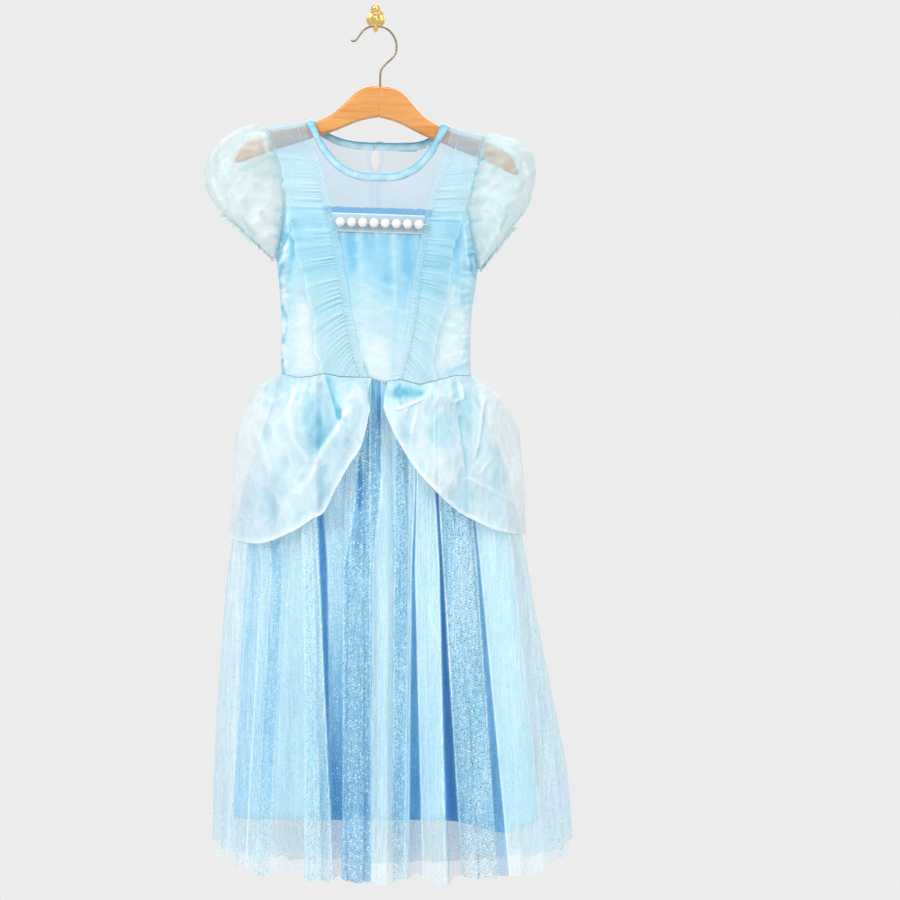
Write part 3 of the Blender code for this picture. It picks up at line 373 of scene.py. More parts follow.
for hand, way in (("left", -1), ("right", 1)):
    reach = np.concatenate([(0.12, 0.12, 0.3, 0.7), np.linspace(2.0, WOOD_TIP - TIP_ROUND, 90),
                            WOOD_TIP - TIP_ROUND * (1 - np.sin(np.linspace(0.2, math.pi / 2, 8)))])
    inset = 0.6 * unit((0.7 - reach) / 0.58)
    inset[0] = 2.5
    near_tip = np.clip(reach - WOOD_TIP + TIP_ROUND, 0, TIP_ROUND) / (TIP_ROUND + 0.01)
    inset += WOOD_CORNER * (1 - np.sqrt(1 - near_tip ** 2)) * 0.9
    top, bottom = read(WOOD_STATIONS, "top", reach), read(WOOD_STATIONS, "bottom", reach)
    tall = ((top - bottom) / 2 - inset)[:, None]
    deep = (WOOD_THICKNESS / 2 - inset)[:, None]
    corner = np.minimum(WOOD_CORNER, 0.98 * np.minimum(tall, deep))
    up = sine_way * (tall - corner) + corner * sine
    aside = cosine_way * (deep - corner) + corner * cosine
    height = ((top + bottom) / 2)[:, None] + up
    along = way * reach[:, None]
    x = WOOD_CENTRE_X + along * math.cos(HANGER_TILT) + height * math.sin(HANGER_TILT)
    z = WOOD_CENTRE_Z + height * math.cos(HANGER_TILT) - along * math.sin(HANGER_TILT)
    wood = np.stack([x, HANGER_Y + aside, z], axis=-1)
    wood = close_ends(grid_piece("hanger_arm_" + hand, wood, closed=True))
    wood.data.set_sharp_from_angle(angle=math.radians(50))
    fit_piece(wood, "beech", beech, "hanger_wood_" + hand)

# ---------------------------------------------------------------- Bodice
# Pale blue satin, cut in a tapered front, two front sides and two backs that meet in a seam
# at the middle. It lies almost flat on the hanger and crumples at its sides.
MID_Y = HANGER_Y
FRONT_ROUND = 2.4
BACK_ROUND = 3.2
Section = namedtuple("Section", "z left right back front")
BODY = (
    Section(-225, -118, 119, -7, -55), Section(-260, -119, 121, -7, -58),
    Section(-290, -120, 124, -7, -58.5), Section(-320, -116.5, 121, -7, -57),
    Section(-350, -114.5, 116.5, -7, -55), Section(-390, -114, 114.5, -7, -52),
    Section(-432, -114, 115, -7, -50),
)
BODICE_TOP = -231.0
BODICE_TOP_TILT = 0.03
WAIST = -431.6
SATIN_WALL = 0.5
PrincessSeam = namedtuple("PrincessSeam", "z left right")
PRINCESS_SEAMS = (
    PrincessSeam(-225, -64.5, 71), PrincessSeam(-261, -55, 64), PrincessSeam(-311, -46.6, 55.5),
    PrincessSeam(-343, -41.2, 52), PrincessSeam(-395, -31.2, 42.5), PrincessSeam(-432, -19.2, 32.5),
)
SHOULDER_BEND = 9.2
SHOULDER_LIFT = 3.2
NECK_MIDDLE = 2.3
NECK_HALF = 82.3
NECK_SIDE_Z = -127.2
NECK_SIDE_TILT = 0.0235
NECK_LEAVES_WOOD = (7.0, 12.0)  # how far inside the neck's ends the shoulder leaves the hanger
BACK_SEAM_X = -0.6
Armhole = namedtuple("Armhole", "z left right")
ARMHOLES = (
    Armhole(-138, -129, 130), Armhole(-160, -122, 126.5), Armhole(-185, -116, 121),
    Armhole(-207, -112, 115), Armhole(-235, -110.5, 111),
)
ARMHOLE_TOP = -138.0
ARMHOLE_BOTTOM = {"left": -289.0, "right": -302.0}
WAVES = 14                      # sine waves that make up one set of ripples


def ring_point(sections, z, angle, out=0.0):
    """x and y on a garment ring. Angle 0 is the left side, a quarter turn the front's middle."""
    left, right = read(sections, "left", z), read(sections, "right", z)
    front, back = read(sections, "front", z), read(sections, "back", z)
    sine, cosine = np.sin(angle), np.cos(angle)
    power = 2.0 / np.where(sine >= 0, FRONT_ROUND, BACK_ROUND)
    depth = np.where(sine >= 0, MID_Y - front, back - MID_Y) + out
    x = (left + right) / 2 - ((right - left) / 2 + out) * np.sign(cosine) * np.abs(cosine) ** power
    return x, MID_Y - np.sign(sine) * depth * np.abs(sine) ** power


def ring_angle(sections, x, z, side=1):
    """The angle at which a ring's front (side 1) or back (side -1) passes x."""
    left, right = read(sections, "left", z), read(sections, "right", z)
    share = np.clip(((left + right) / 2 - x) / ((right - left) / 2), -1.0, 1.0)
    power = FRONT_ROUND if side > 0 else BACK_ROUND
    return side * np.arccos(np.sign(share) * np.abs(share) ** (power / 2))


def bodice_top(x):
    """Height of the seam between bodice and yoke, which hangs a little lower on the right."""
    return BODICE_TOP - BODICE_TOP_TILT * x


def shoulder_top(x):
    """Height of the shoulder line; over the neck opening it is carried straight across."""
    across = NECK_SIDE_Z - NECK_SIDE_TILT * (x - NECK_MIDDLE)
    reach = x - WOOD_CENTRE_X
    wood = WOOD_CENTRE_Z + read(WOOD_STATIONS, "top", np.abs(reach)) - math.tan(HANGER_TILT) * reach
    outside = np.interp(NECK_HALF - np.abs(x - NECK_MIDDLE), NECK_LEAVES_WOOD, (1.0, 0.0))
    return across + (wood + SHOULDER_LIFT - across) * outside


def torso_y(x, z, side):
    """Depth of the front (side 1) or back (side -1) of bodice and yoke."""
    seam = np.minimum(z, bodice_top(x))
    inside = np.clip(x, ARMHOLES[-1].left, ARMHOLES[-1].right)
    depth = np.abs(MID_Y - ring_point(BODY, seam, ring_angle(BODY, inside, seam, side))[1])
    top = shoulder_top(x)
    fall = np.clip(top - z, 0.0, None)
    bend = np.sqrt(SHOULDER_BEND ** 2 - (SHOULDER_BEND - np.minimum(fall, SHOULDER_BEND)) ** 2)
    share = unit((fall - SHOULDER_BEND) / (top - bodice_top(x) - SHOULDER_BEND))
    return MID_Y - side * (bend + (depth - SHOULDER_BEND) * share * (2 - share))


def torso_point(x, z, side, out=0.0):
    """A point of bodice or yoke, moved out; over the shoulder it is moved upwards."""
    fall = unit((shoulder_top(x) - z) / SHOULDER_BEND)
    turn = np.arccos(1.0 - fall)
    return np.stack(np.broadcast_arrays(x, torso_y(x, z, side) - side * out * np.sin(turn),
                                        z + out * np.cos(turn)), axis=-1)


def side_turn(hand, side, x, z):
    """How far round from the side seam the bodice passes x."""
    angle = abs(ring_angle(BODY, x, z, side))
    return angle if hand == "left" else math.pi - angle


def turn_angle(hand, side, turn):
    """The ring angle that lies a turn round from a side seam, to the front or the back."""
    return side * turn if hand == "left" else math.pi - side * turn


def thicken(piece, thickness):
    """Give a sheet its wall, inwards from its outer face."""
    bpy.ops.object.select_all(action="DESELECT")
    piece.select_set(True)
    bpy.context.view_layer.objects.active = piece
    wall = piece.modifiers.new("wall", "SOLIDIFY")
    wall.thickness = thickness * MM
    wall.offset = -1.0
    bpy.ops.object.modifier_apply(modifier=wall.name)
    return piece


def ripples(points, wavelength, seed, stretch=(1.0, 1.0, 1.0)):
    """Soft random waves at points in millimetres, from about -1 to 1, the same on every run."""
    chance = np.random.default_rng(seed)
    points = np.asarray(points, dtype=float) / np.array(stretch)
    total = np.zeros(points.shape[:-1])
    for _ in range(WAVES):
        way = chance.normal(size=3)
        way *= 2 * math.pi / (np.linalg.norm(way) * wavelength * chance.uniform(0.6, 1.6))
        total += np.sin(points @ way + chance.uniform(0, 2 * math.pi))
    return total / math.sqrt(WAVES)


def bell(share):
    """One at 0, fading softly to both sides."""
    return np.exp(-share ** 2)


def sheet_normals(points, closed=False):
    """Unit normals of a grid of points whose rows run downwards and columns to the right."""
    if closed:
        around = np.roll(points, -1, axis=1) - np.roll(points, 1, axis=1)
    else:
        around = np.gradient(points, axis=1)
    normals = np.cross(np.gradient(points, axis=0), around)
    return normals / np.maximum(np.linalg.norm(normals, axis=2, keepdims=True), 1e-9)


# A fold or crease drawn along a way seen from the front: its width to the left of the way and
# to the right, its lift in millimetres, and what it adds to the cloth's tone, a painted light and
# shade, and to its cover.
Mark = namedtuple("Mark", "path soft sharp lift tone cover")


def fold_marks(x, z, marks):
    """Lift, tone and cover that the marks add up to at a place seen from the front."""
    x, z = np.broadcast_arrays(np.asarray(x, dtype=float), z)
    totals = np.zeros((3,) + x.shape)
    for mark in marks:
        least = np.full(x.shape, np.inf)
        aside = np.zeros(x.shape)
        for (x0, z0), (x1, z1) in zip(mark.path[:-1], mark.path[1:]):
            wx, wz = x1 - x0, z1 - z0
            along = unit(((x - x0) * wx + (z - z0) * wz) / (wx * wx + wz * wz))
            reach = np.hypot(x - x0 - wx * along, z - z0 - wz * along)
            aside = np.where(reach < least, wx * (z - z0) - wz * (x - x0), aside)
            least = np.minimum(reach, least)
        press = bell(least / np.where(aside > 0, mark.soft, mark.sharp))
        totals += np.stack([mark.lift * press, mark.tone * press, mark.cover * press])
    return totals


def point_value(tree, name):
    """A number that a piece's points carry, such as its painted light."""
    return add_node(tree, "Attribute", {"attribute_name": name}).outputs["Fac"]


def cloth_material(name, roughness, colours, patches, unevenness, **sockets):
    """Cloth toned between three colours, from shaded to lit, by the light and shade painted on its
    pieces, and clouded a little.
    """
    material, tree, shader = new_material(name, roughness, **sockets)
    uneven = calculate(tree, "SUBTRACT", noise(tree, patches, Detail=4.0), 0.5)
    tone = calculate(tree, "MULTIPLY_ADD", uneven, unevenness, point_value(tree, "light"))
    colour(tree, shader, tone, *zip((0.0, 0.5, 1.0), colours))
    return material, tree, shader, uneven


def satin_material(name, roughness, colours, crease=0.25):
    """Woven satin: glossy and finely creased, with its threads across."""
    material, tree, shader, _ = cloth_material(
        name, roughness, colours, (16.0, 16.0, 9.0), 0.3,
        Sheen_Weight=0.25, Sheen_Roughness=0.4, Anisotropic=0.35)
    creases = noise(tree, (38.0, 38.0, 26.0), Detail=4.0, Roughness=0.55, Distortion=0.6)
    floats = add_node(tree, "TexWave", Vector=surface_place(tree, (1800.0, 900.0, 1.0), "UV"),
                      Scale=1.0, Distortion=1.5)
    height = calculate(tree, "MULTIPLY_ADD", floats.outputs["Fac"], 0.006, creases)
    put_bump(tree, shader, height, crease, 0.006)
    return material


bodice_satin = satin_material(
    "pale blue satin", 0.27, ((0.16, 0.43, 0.61), (0.345, 0.57, 0.665), (0.56, 0.665, 0.70)))
# A darker copy of the satin: painted shade for satin that lies in shadow, inside the back, above
# the pearl band and along the waist seam.
shaded_satin = satin_material(
    "shaded blue satin", 0.4, ((0.02, 0.17, 0.42), (0.09, 0.33, 0.58), (0.25, 0.50, 0.68)))
# Folds of the satin's front, with the highlights and shade painted on them: gathers under the pearl
# band, the smooth middle, and the crumpled sides.
SATIN_MARKS = (
    Mark(((-30.6, -262), (-28.4, -300)), 6, 5, -0.4, -0.28, 0),
    Mark(((-20.4, -258), (-15.6, -335)), 3.5, 3.5, 0.5, 0.16, 0),
    Mark(((-7.8, -262), (-4.2, -310)), 8, 9, -0.4, -0.16, 0),
    Mark(((12, -268), (13, -330)), 5, 6, -0.4, -0.14, 0),
    Mark(((20.5, -258), (24.6, -350)), 3, 3, 0.5, 0.20, 0),
    Mark(((35, -262), (37, -304)), 8, 5, -0.5, -0.34, 0),
    Mark(((42, -300), (34.2, -350)), 3, 3, -0.3, -0.14, 0),
    Mark(((-9, -300), (-7, -424)), 9, 9, 0.5, 0.16, 0),
    Mark(((4, -395), (6, -430)), 9, 10, 0.6, 0.35, 0),
    Mark(((28, -330), (20, -425)), 4, 4, -0.3, -0.12, 0),
    Mark(((-8, -432), (-14, -420)), 3, 4, -0.5, -0.45, 0),
    Mark(((-87, -350), (-84, -415)), 10, 9, 0.6, 0.42, 0),
    Mark(((-16, -298), (30, -302)), 42, 42, 0, -0.24, 0),
    Mark(((-116, -236), (-113, -266)), 6, 4, -0.8, -0.60, 0),
    Mark(((-106, -262), (-119, -292)), 1.3, 1.3, -0.8, -0.40, 0),
    Mark(((-107, -236), (-104, -262)), 2.5, 2.5, 0.6, 0.35, 0),
    Mark(((-99.5, -246), (-100.5, -288)), 4.5, 3, -0.6, -0.50, 0),
    Mark(((-101, -292), (-105, -316)), 3, 4.5, -0.5, -0.30, 0),
    Mark(((-105.5, -270), (-113.5, -295)), 2, 2, 0.8, 0.55, 0),
    Mark(((-112, -296), (-118, -318)), 2, 2, -0.8, -0.60, 0),
    Mark(((-112, -316), (-110, -348)), 3.5, 3, 0.8, 0.50, 0),
    Mark(((-114.5, -348), (-108, -360)), 1.8, 2.5, -0.8, -0.55, 0),
    Mark(((-112, -364), (-111, -378)), 2.5, 2.5, 0.8, 0.50, 0),
    Mark(((-108, -376), (-112, -392)), 2.5, 2, -0.8, -0.45, 0),
    Mark(((-112, -396), (-108, -420)), 2.5, 2.5, 0.8, 0.45, 0),
    Mark(((-114, -412), (-111, -430)), 2, 2, -0.8, -0.50, 0),
    Mark(((96, -330), (92, -400)), 16, 14, 0.5, 0.26, 0),
    Mark(((97, -254), (102, -345)), 7, 8, -0.5, -0.42, 0),
    Mark(((104, -290), (101, -350)), 2.5, 3, 0.5, 0.18, 0),
    Mark(((112, -284), (119, -312)), 2, 2, -0.8, -0.55, 0),
    Mark(((108, -262), (113, -300)), 1.8, 1.8, 0.8, 0.35, 0),
    Mark(((90, -427), (108, -420)), 4, 3, -0.6, -0.40, 0),
    Mark(((80, -410), (104, -404)), 3, 4, 0.5, 0.12, 0),
)
# The waist seam is pulled up and down a little by the drapes' gathers.
WAIST_X = (-111, -95.4, -78.6, -60.6, -42.6, -6.6, 11.4, 29.4, 53.4, 77.4, 95.4, 115.8)
WAIST_Z = (-429, -433.8, -432.6, -429, -432.6, -433.8, -439, -436.2, -442, -436.2, -431.4, -431.4)
BACK_SHADED_FACING_ROWS = 14


def waist_line(x, side):
    """Height of the waist seam, which is wavy at the front."""
    return np.interp(x, WAIST_X, WAIST_Z) if side > 0 else WAIST + 0 * x


def bodice_panel(name, hand, side, start_turn, end_turn, rows, columns, flat, lowered):
    """One panel of the bodice, cut to its armhole and crumpled a little."""
    top_x = read(ARMHOLES, hand, BODICE_TOP)
    top_z = bodice_top(top_x)
    edge = side_turn(hand, side, top_x, BODICE_TOP)
    bottom = ARMHOLE_BOTTOM[hand]
    across = np.linspace(0, 1, columns)
    top_turn = start_turn(top_z) + (end_turn(top_z) - start_turn(top_z)) * across
    under_arm = bottom + (top_z - bottom) * (top_turn / edge) ** 2
    under_yoke = bodice_top(ring_point(BODY, top_z, turn_angle(hand, side, top_turn))[0]) - lowered
    top = np.where(top_turn < edge, under_arm, under_yoke)
    foot_turn = start_turn(WAIST) + (end_turn(WAIST) - start_turn(WAIST)) * across
    foot = waist_line(ring_point(BODY, WAIST, turn_angle(hand, side, foot_turn))[0], side)
    down = np.linspace(0, 1, rows)[:, None]
    z = top + (foot - top) * down
    turn = start_turn(z) + (end_turn(z) - start_turn(z)) * across
    x, y = ring_point(BODY, z, turn_angle(hand, side, turn))
    points = np.stack([x, y, z], axis=-1)
    if side * (1 if hand == "left" else -1) < 0:
        points = points[:, ::-1]
    held = np.sin(math.pi * across) ** 0.5 * np.sin(math.pi * down) ** 0.4
    soft = ripples(points, 46.0, 11, (1.0, 1.0, 1.5))
    creased = 0.5 - np.abs(ripples(points, 26.0, 13, (1.4, 1.0, 0.8)))
    near_side = unit((np.abs(points[..., 0]) - 100.0) / 16.0)
    crumple = near_side * (0.4 - np.abs(ripples(points, 21.0, 14, (1.6, 1.0, 0.7))))
    lift = soft * 0.55 + ripples(points, 17.0, 12) * 0.2 + creased * 0.5 + crumple * 2.4
    # Painted light and shade: highlights on the crumples and creases, darker towards the top and
    # lighter towards the waist.
    light = 0.56 + 0.04 * soft + 0.06 * creased + 0.30 * crumple
    light = light + 0.22 * np.clip((-325.0 - points[..., 2]) / 90.0, -1, 1)
    if side > 0:
        marked = fold_marks(points[..., 0], points[..., 2], SATIN_MARKS)
        lift = lift + marked[0]
        light = light + marked[1]
        # Painted shade under the pearl band, with painted highlights and shade across its small
        # gathers.
        under_band = bell((points[..., 2] + 258.0) / 9.0)
        gathered = ripples(points, 9.0, 15, (1.0, 1.0, 9.0))
        light = light - 0.08 * under_band + 0.22 * under_band * gathered
    points = points + sheet_normals(points) * (lift * held - 0.3)[..., None]
    panel = thicken(grid_piece(name + "_satin", points, light=light), SATIN_WALL)
    fit_piece(panel, "satin", bodice_satin, name)
    facing = []
    # The back's top rows are faced inside with the darker satin: painted shade for the inside of
    # the back, which shows through the yoke.
    if side < 0:
        under = points[:BACK_SHADED_FACING_ROWS] - sheet_normals(points[:BACK_SHADED_FACING_ROWS]) * 0.7
        facing = [grid_piece("back_facing_" + hand, under[:, ::-1], light=0.45)]
        fit_piece(facing[0], "satin", shaded_satin)


def at_side(z):
    """A panel's edge at its side seam, as how far round it lies from there."""
    return np.full_like(np.asarray(z, dtype=float), 0.002)


def front_seam(hand, gap):
    """The princess seam, as how far round it lies from the side seam."""
    return lambda z: side_turn(hand, 1, read(PRINCESS_SEAMS, hand, z), z) + gap


def back_seam(hand):
    """The back's middle seam, as how far round it lies from the side seam."""
    return lambda z: side_turn(hand, -1, BACK_SEAM_X, z) - 0.00002


# The panels hang from the yoke, so they are made after it.
bodice_pieces = []
for hand in ("left", "right"):
    bodice_pieces.append((f"bodice_front_{hand}", hand, 1, at_side, front_seam(hand, -0.002),
                          110, 80, (0.11, 0.17), 0.0))
    bodice_pieces.append((f"bodice_back_{hand}", hand, -1, at_side, back_seam(hand), 90, 60,
                          (0.135, 0.185), 0.0))
far_seam = front_seam("right", 0.002)
bodice_pieces.append(("bodice_front_centre", "left", 1, front_seam("left", 0.002),
                      lambda z: math.pi - far_seam(z), 130, 100, (0.105, 0.20), 8.0))

# ---------------------------------------------------------------- Yoke
# Sheer pale net above the bodice, one front and two backs. The backs are faced with a
# doubled strip where they part in a keyhole under the neck.


def sheer_material(name, roughness, colours, patches, unevenness, **sockets):
    """Sheer cloth: how closely it covers is read from its pieces, like its light."""
    material, tree, shader, uneven = cloth_material(name, roughness, colours, patches, unevenness,
                                                    **sockets)
    cover = calculate(tree, "MULTIPLY_ADD", uneven, unevenness * 0.7, point_value(tree, "cover"))
    tree.links.new(cover, shader.inputs["Alpha"])
    return material, tree, shader


def net_material(name, colours, unevenness):
    """Fine net, uncut: its openness is an even alpha that clouds a little along the cloth."""
    material, tree, shader = sheer_material(name, 0.75, colours, (45.0, 45.0, 30.0), unevenness,
                                            Sheen_Weight=0.3, Sheen_Roughness=0.5)
    threads = add_node(tree, "TexVoronoi", {"feature": "DISTANCE_TO_EDGE"}, Scale=1.0,
                       Vector=surface_place(tree, (1400.0, 1400.0, 1400.0), "UV"))
    put_bump(tree, shader, threads.outputs["Distance"], 0.25, 0.0004)
    return material


yoke_net = net_material(
    "sheer pale net", ((0.18, 0.42, 0.62), (0.32, 0.55, 0.70), (0.50, 0.66, 0.75)), 0.25)

BACK_NECK_DROP = 27.5
FRONT_NECK_DROP = 65.8
FRONT_NECK_POWER = 2.87         # how square the neckline is; 2 is an ellipse
BACK_NECK_POWERS = (3.0, 5.0)   # left and right of its middle
KEYHOLE_TOP = -158.5
KEYHOLE_BOTTOM = -183.0
KEYHOLE_HALF = 5.5
BINDING_HALF = 4.2
YOKE_GROW = BINDING_HALF + 0.3  # the yoke ends just inside the binding's outer edge
CORNER_TURN = 0.3               # the neckline's ends need more points up to this turn


def neck_turns(stop):
    """Turns from a neckline's end on, closer together at first."""
    return np.concatenate([np.linspace(0, CORNER_TURN, 12)[:-1],
                           np.linspace(CORNER_TURN, stop, 40)])


def neck_point(turn, grow, out=0.0):
    """Points of the neckline. Turn 0 is the left side, a quarter the front's middle."""
    turn = np.asarray(turn, dtype=float)
    x = NECK_MIDDLE - (NECK_HALF + grow) * np.cos(turn)
    front = np.sin(turn) >= 0
    drop = np.where(front, FRONT_NECK_DROP, BACK_NECK_DROP) + grow
    power = np.where(front, FRONT_NECK_POWER, np.where(x < NECK_MIDDLE, *BACK_NECK_POWERS))
    z = shoulder_top(x) - drop * (1 - np.abs(np.cos(turn)) ** power)
    return np.where(front[..., None], torso_point(x, z, 1, out), torso_point(x, z, -1, out))


def keyhole_half(z):
    """Half the keyhole's width, drop-shaped, and below it the hair's gap of the back's edges."""
    share = unit((z - KEYHOLE_BOTTOM) / (KEYHOLE_TOP - KEYHOLE_BOTTOM))
    return KEYHOLE_HALF * np.sqrt(np.sin(math.pi * share) * (0.35 + 0.65 * share)) + 0.15


def yoke_panel(name, side, top_x, top_z, start_edge, end_edge):
    """A yoke panel that hangs from its shoulders and neck down to the bodice.

    Between the front's ruffles it reaches down behind the pearl band.
    """
    down = np.linspace(1, 0, 70)[:, None] ** 1.6
    start, end = start_edge(top_z), end_edge(top_z)
    share = unit((top_x - start) / (end - start))
    low = np.full_like(top_z, BODICE_TOP)
    foot_x = start_edge(low) + (end_edge(low) - start_edge(low)) * share
    between = unit((foot_x + 63.0) / 6.0) * unit((69.0 - foot_x) / 6.0) * (side > 0)
    foot = bodice_top(foot_x) + 0.3 - 10.0 * between
    z = foot + (top_z - foot) * down
    x = start_edge(z) + (end_edge(z) - start_edge(z)) * share
    points = torso_point(x, z, side)
    soft = ripples(points, 40.0, 21)
    points = points + sheet_normals(points) * (soft * 0.25 * down)[..., None]
    # Its painted light follows the ripples a little.
    light = 0.5 + 0.06 * soft
    panel = grid_piece(name, points if side > 0 else points[:, ::-1], cover=0.27,
                       light=light if side > 0 else light[:, ::-1])
    return fit_piece(panel, "yoke_net", yoke_net, name.replace("_net", ""))


def edge_of(hand):
    """The armhole's edge on one side, by height."""
    return lambda z: read(ARMHOLES, hand, z)


def shoulder_line(hand):
    """x and z along a shoulder, from the armhole to the neck."""
    way = -1 if hand == "left" else 1
    neck_x = NECK_MIDDLE + way * (NECK_HALF + YOKE_GROW)
    x = np.linspace(read(ARMHOLES, hand, ARMHOLE_TOP), neck_x, 20)[:-1]
    return np.stack([x, shoulder_top(x)], axis=1)


def row_ripples(places, wavelength, seed):
    """Ripples that vary along one direction only."""
    return ripples(np.stack([places, 0 * places, 0 * places], axis=-1), wavelength, seed)


quarter = neck_turns(math.pi / 2)
neck_line = neck_point(np.concatenate([quarter, math.pi - quarter[-2::-1]]), YOKE_GROW)
line = np.concatenate([shoulder_line("left"), neck_line[:, [0, 2]], shoulder_line("right")[::-1]])
yoke_front = yoke_panel("yoke_front_net", 1, line[:, 0], line[:, 1],
                        edge_of("left"), edge_of("right"))
# The bodice front's turned top edge, behind the net above the pearl band, is a strip of the darker
# satin: painted shade.
across = np.linspace(-64.0, 70.0, 260)[None, :]
down = np.linspace(0, 1, 10)[:, None]
jagged = row_ripples(across, 3.2, 25)
strip_z = bodice_top(across) + 1.4 + 0.6 * jagged - (8.5 + 0.6 * jagged) * down
strip = torso_point(across, strip_z, 1, -0.6)
turned_edge = grid_piece("bodice_turned_edge", strip, light=0.42 + 0.14 * ripples(strip, 2.4, 26))
fit_piece(turned_edge, "satin", shaded_satin)
for hand in ("left", "right"):
    way = -1 if hand == "left" else 1
    stop = math.acos(way * (BACK_SEAM_X - NECK_MIDDLE) / NECK_HALF)
    turns = -neck_turns(stop) if hand == "left" else math.pi + neck_turns(stop)
    line = np.concatenate([shoulder_line(hand), neck_point(turns, YOKE_GROW)[:, [0, 2]]])
    yoke_back = yoke_panel(f"yoke_back_net_{hand}", -1, line[:, 0], line[:, 1], edge_of(hand),
                           lambda z: BACK_SEAM_X + way * keyhole_half(z))
    if hand == "right":
        yoke_back.data.flip_normals()
    strip_z = np.linspace(-160.0, -230.0, 60)[:, None]
    strip_x = BACK_SEAM_X + way * (keyhole_half(strip_z) + np.linspace(0.2, 6.5, 8))
    strip = torso_point(strip_x, strip_z + 0 * strip_x, -1, -0.8)
    strip = grid_piece(f"keyhole_facing_{hand}", strip if way < 0 else strip[:, ::-1],
                       light=0.5, cover=0.15)
    fit_piece(strip, "yoke_net", yoke_net)

for panel in bodice_pieces:
    bodice_panel(*panel)
# The front's waist seam, as a thin piping between bodice and skirt, in the darker satin: painted
# shadow where they meet.
seam_turns = np.linspace(0.02, math.pi - 0.02, 300)
x, y = ring_point(BODY, np.full(300, WAIST), seam_turns, 0.5)
seam_path = np.stack([x, y, waist_line(x, 1) - 0.2], axis=-1)
waist_shadow_line = tube_piece("waist_shadow_line", seam_path, np.full(300, 0.45), 6, (0.0, 0.0, 1.0), light=0.85)
fit_piece(waist_shadow_line, "satin", shaded_satin)

# ---------------------------------------------------------------- Neck binding, loop and button
# Bright satin bias binding folded over the neck's edge, a thin rouleau loop at the back and
# a small pale button that it goes round, and a blank woven label behind.
binding_satin = satin_material(
    "bright blue binding", 0.2, ((0.13, 0.37, 0.53), (0.33, 0.54, 0.62), (0.55, 0.65, 0.68)), 0.35)
END_GAP = 0.4
BINDING_WALL = 0.45
stop_left = math.acos((NECK_MIDDLE - BACK_SEAM_X + END_GAP) / NECK_HALF)
stop_right = math.acos((BACK_SEAM_X + END_GAP - NECK_MIDDLE) / NECK_HALF)
turns = np.concatenate([np.linspace(-stop_left, 0, 90)[:-1], np.linspace(0, math.pi, 180)[:-1],
                        np.linspace(math.pi, math.pi + stop_right, 90)])
# Each row of the fold: how far it lies outside the neckline, how far it stands out, its painted
# light.
BINDING_ROWS = ((-4.2, -0.9, -0.6), (-4.5, -0.1, -0.6), (-4.2, 0.6, -0.3), (-2.8, 1.25, 0.3),
                (0.0, 1.5, 0.5), (2.6, 1.2, 0.5), (3.9, 0.6, 0.4), (4.2, 0.1, 0.3))
rows = []
for grow, out, _ in BINDING_ROWS:
    crumple = 0.22 * np.sin(turns * 31.0 + grow) * np.sin(turns * 7.0) * (out > 0.5)
    rows.append(neck_point(turns, grow, out + crumple))
light = np.array([row[2] for row in BINDING_ROWS])[:, None] + 0.12 * ripples(rows, 13.0, 41)
# Painted shade towards the shoulders, and the back's half painted lighter.
light = light - 0.30 * np.abs(np.cos(turns)) ** 4
light = light + np.where(np.sin(turns) < 0, 0.1, 0.0)
binding = grid_piece("neck_binding_satin", rows, light=light)
binding.data.flip_normals()
thicken(binding, BINDING_WALL)
fit_piece(binding, "satin_binding", binding_satin, "neck_binding")

BUTTON_X = 5.4
BUTTON_Z = -152.8
LOOP_PATH = ((-12.4, 1.2), (-7.4, 2.5), (-2.4, 3.6), (1.6, 3.2), (3.6, 0.0), (1.6, -3.2),
             (-2.4, -3.6), (-7.4, -2.5), (-12.4, -1.2))
loop_line = smooth_path(LOOP_PATH, 8) + (BUTTON_X, BUTTON_Z)
loop = tube_piece("neck_rouleau_loop", torso_point(loop_line[:, 0], loop_line[:, 1], -1, 2.7),
                  np.full(len(loop_line), 1.0), 12, (0.0, 1.0, 0.0), light=0.4)
fit_piece(loop, "satin_binding", binding_satin, "neck_loop")
button_y = float(torso_y(BUTTON_X, BUTTON_Z, -1)) + 1.9
BUTTON_PROFILE = ((1.5, 0.0), (1.5, 3.2), (4.6, 3.3), (5.6, 4.0), (5.7, 5.0), (5.0, 5.9),
                  (3.4, 6.2), (2.6, 5.9), (1.0, 5.8))
turned = [[(BUTTON_X + r * math.cos(t), button_y + y, BUTTON_Z + r * math.sin(t))
           for t in np.linspace(0, 2 * math.pi, 40, endpoint=False)]
          for r, y in smooth_path(BUTTON_PROFILE, 3)]
button = close_ends(grid_piece("neck_button_round", turned, closed=True))
button_gloss = mottled_material("pale button", 0.2, 220.0, 4.0, (0.3, (0.52, 0.42, 0.34)),
                                (0.7, (0.68, 0.61, 0.54)), Coat_Weight=0.4)[0]
fit_piece(button, "button", button_gloss, "neck_button")

label_cloth, tree, shader = new_material("blank woven label", 0.7, Sheen_Weight=0.2)
weave = add_node(tree, "TexWave", Vector=surface_place(tree, (2600.0, 900.0, 1.0), "UV"), Scale=1.0)
colour(tree, shader, weave.outputs["Fac"], (0.2, (0.68, 0.68, 0.67)), (0.8, (0.76, 0.76, 0.75)))
put_bump(tree, shader, weave.outputs["Fac"], 0.2, 0.0003)
LABEL_X = 39.0
LABEL_WIDTH = 21.6
LABEL_TALL = 12.0
LABEL_TOP = -148.7
across = np.linspace(LABEL_X - LABEL_WIDTH / 2, LABEL_X + LABEL_WIDTH / 2, 30)
label_z = np.linspace(LABEL_TOP, LABEL_TOP - LABEL_TALL, 16)[:, None]
label = torso_point(across + 0 * label_z, label_z - 0.02 * (across - LABEL_X), -1, 2.2)
label = thicken(grid_piece("blank_label", label[:, ::-1]), 0.3)
fit_piece(label, "label", label_cloth, "neck_label")

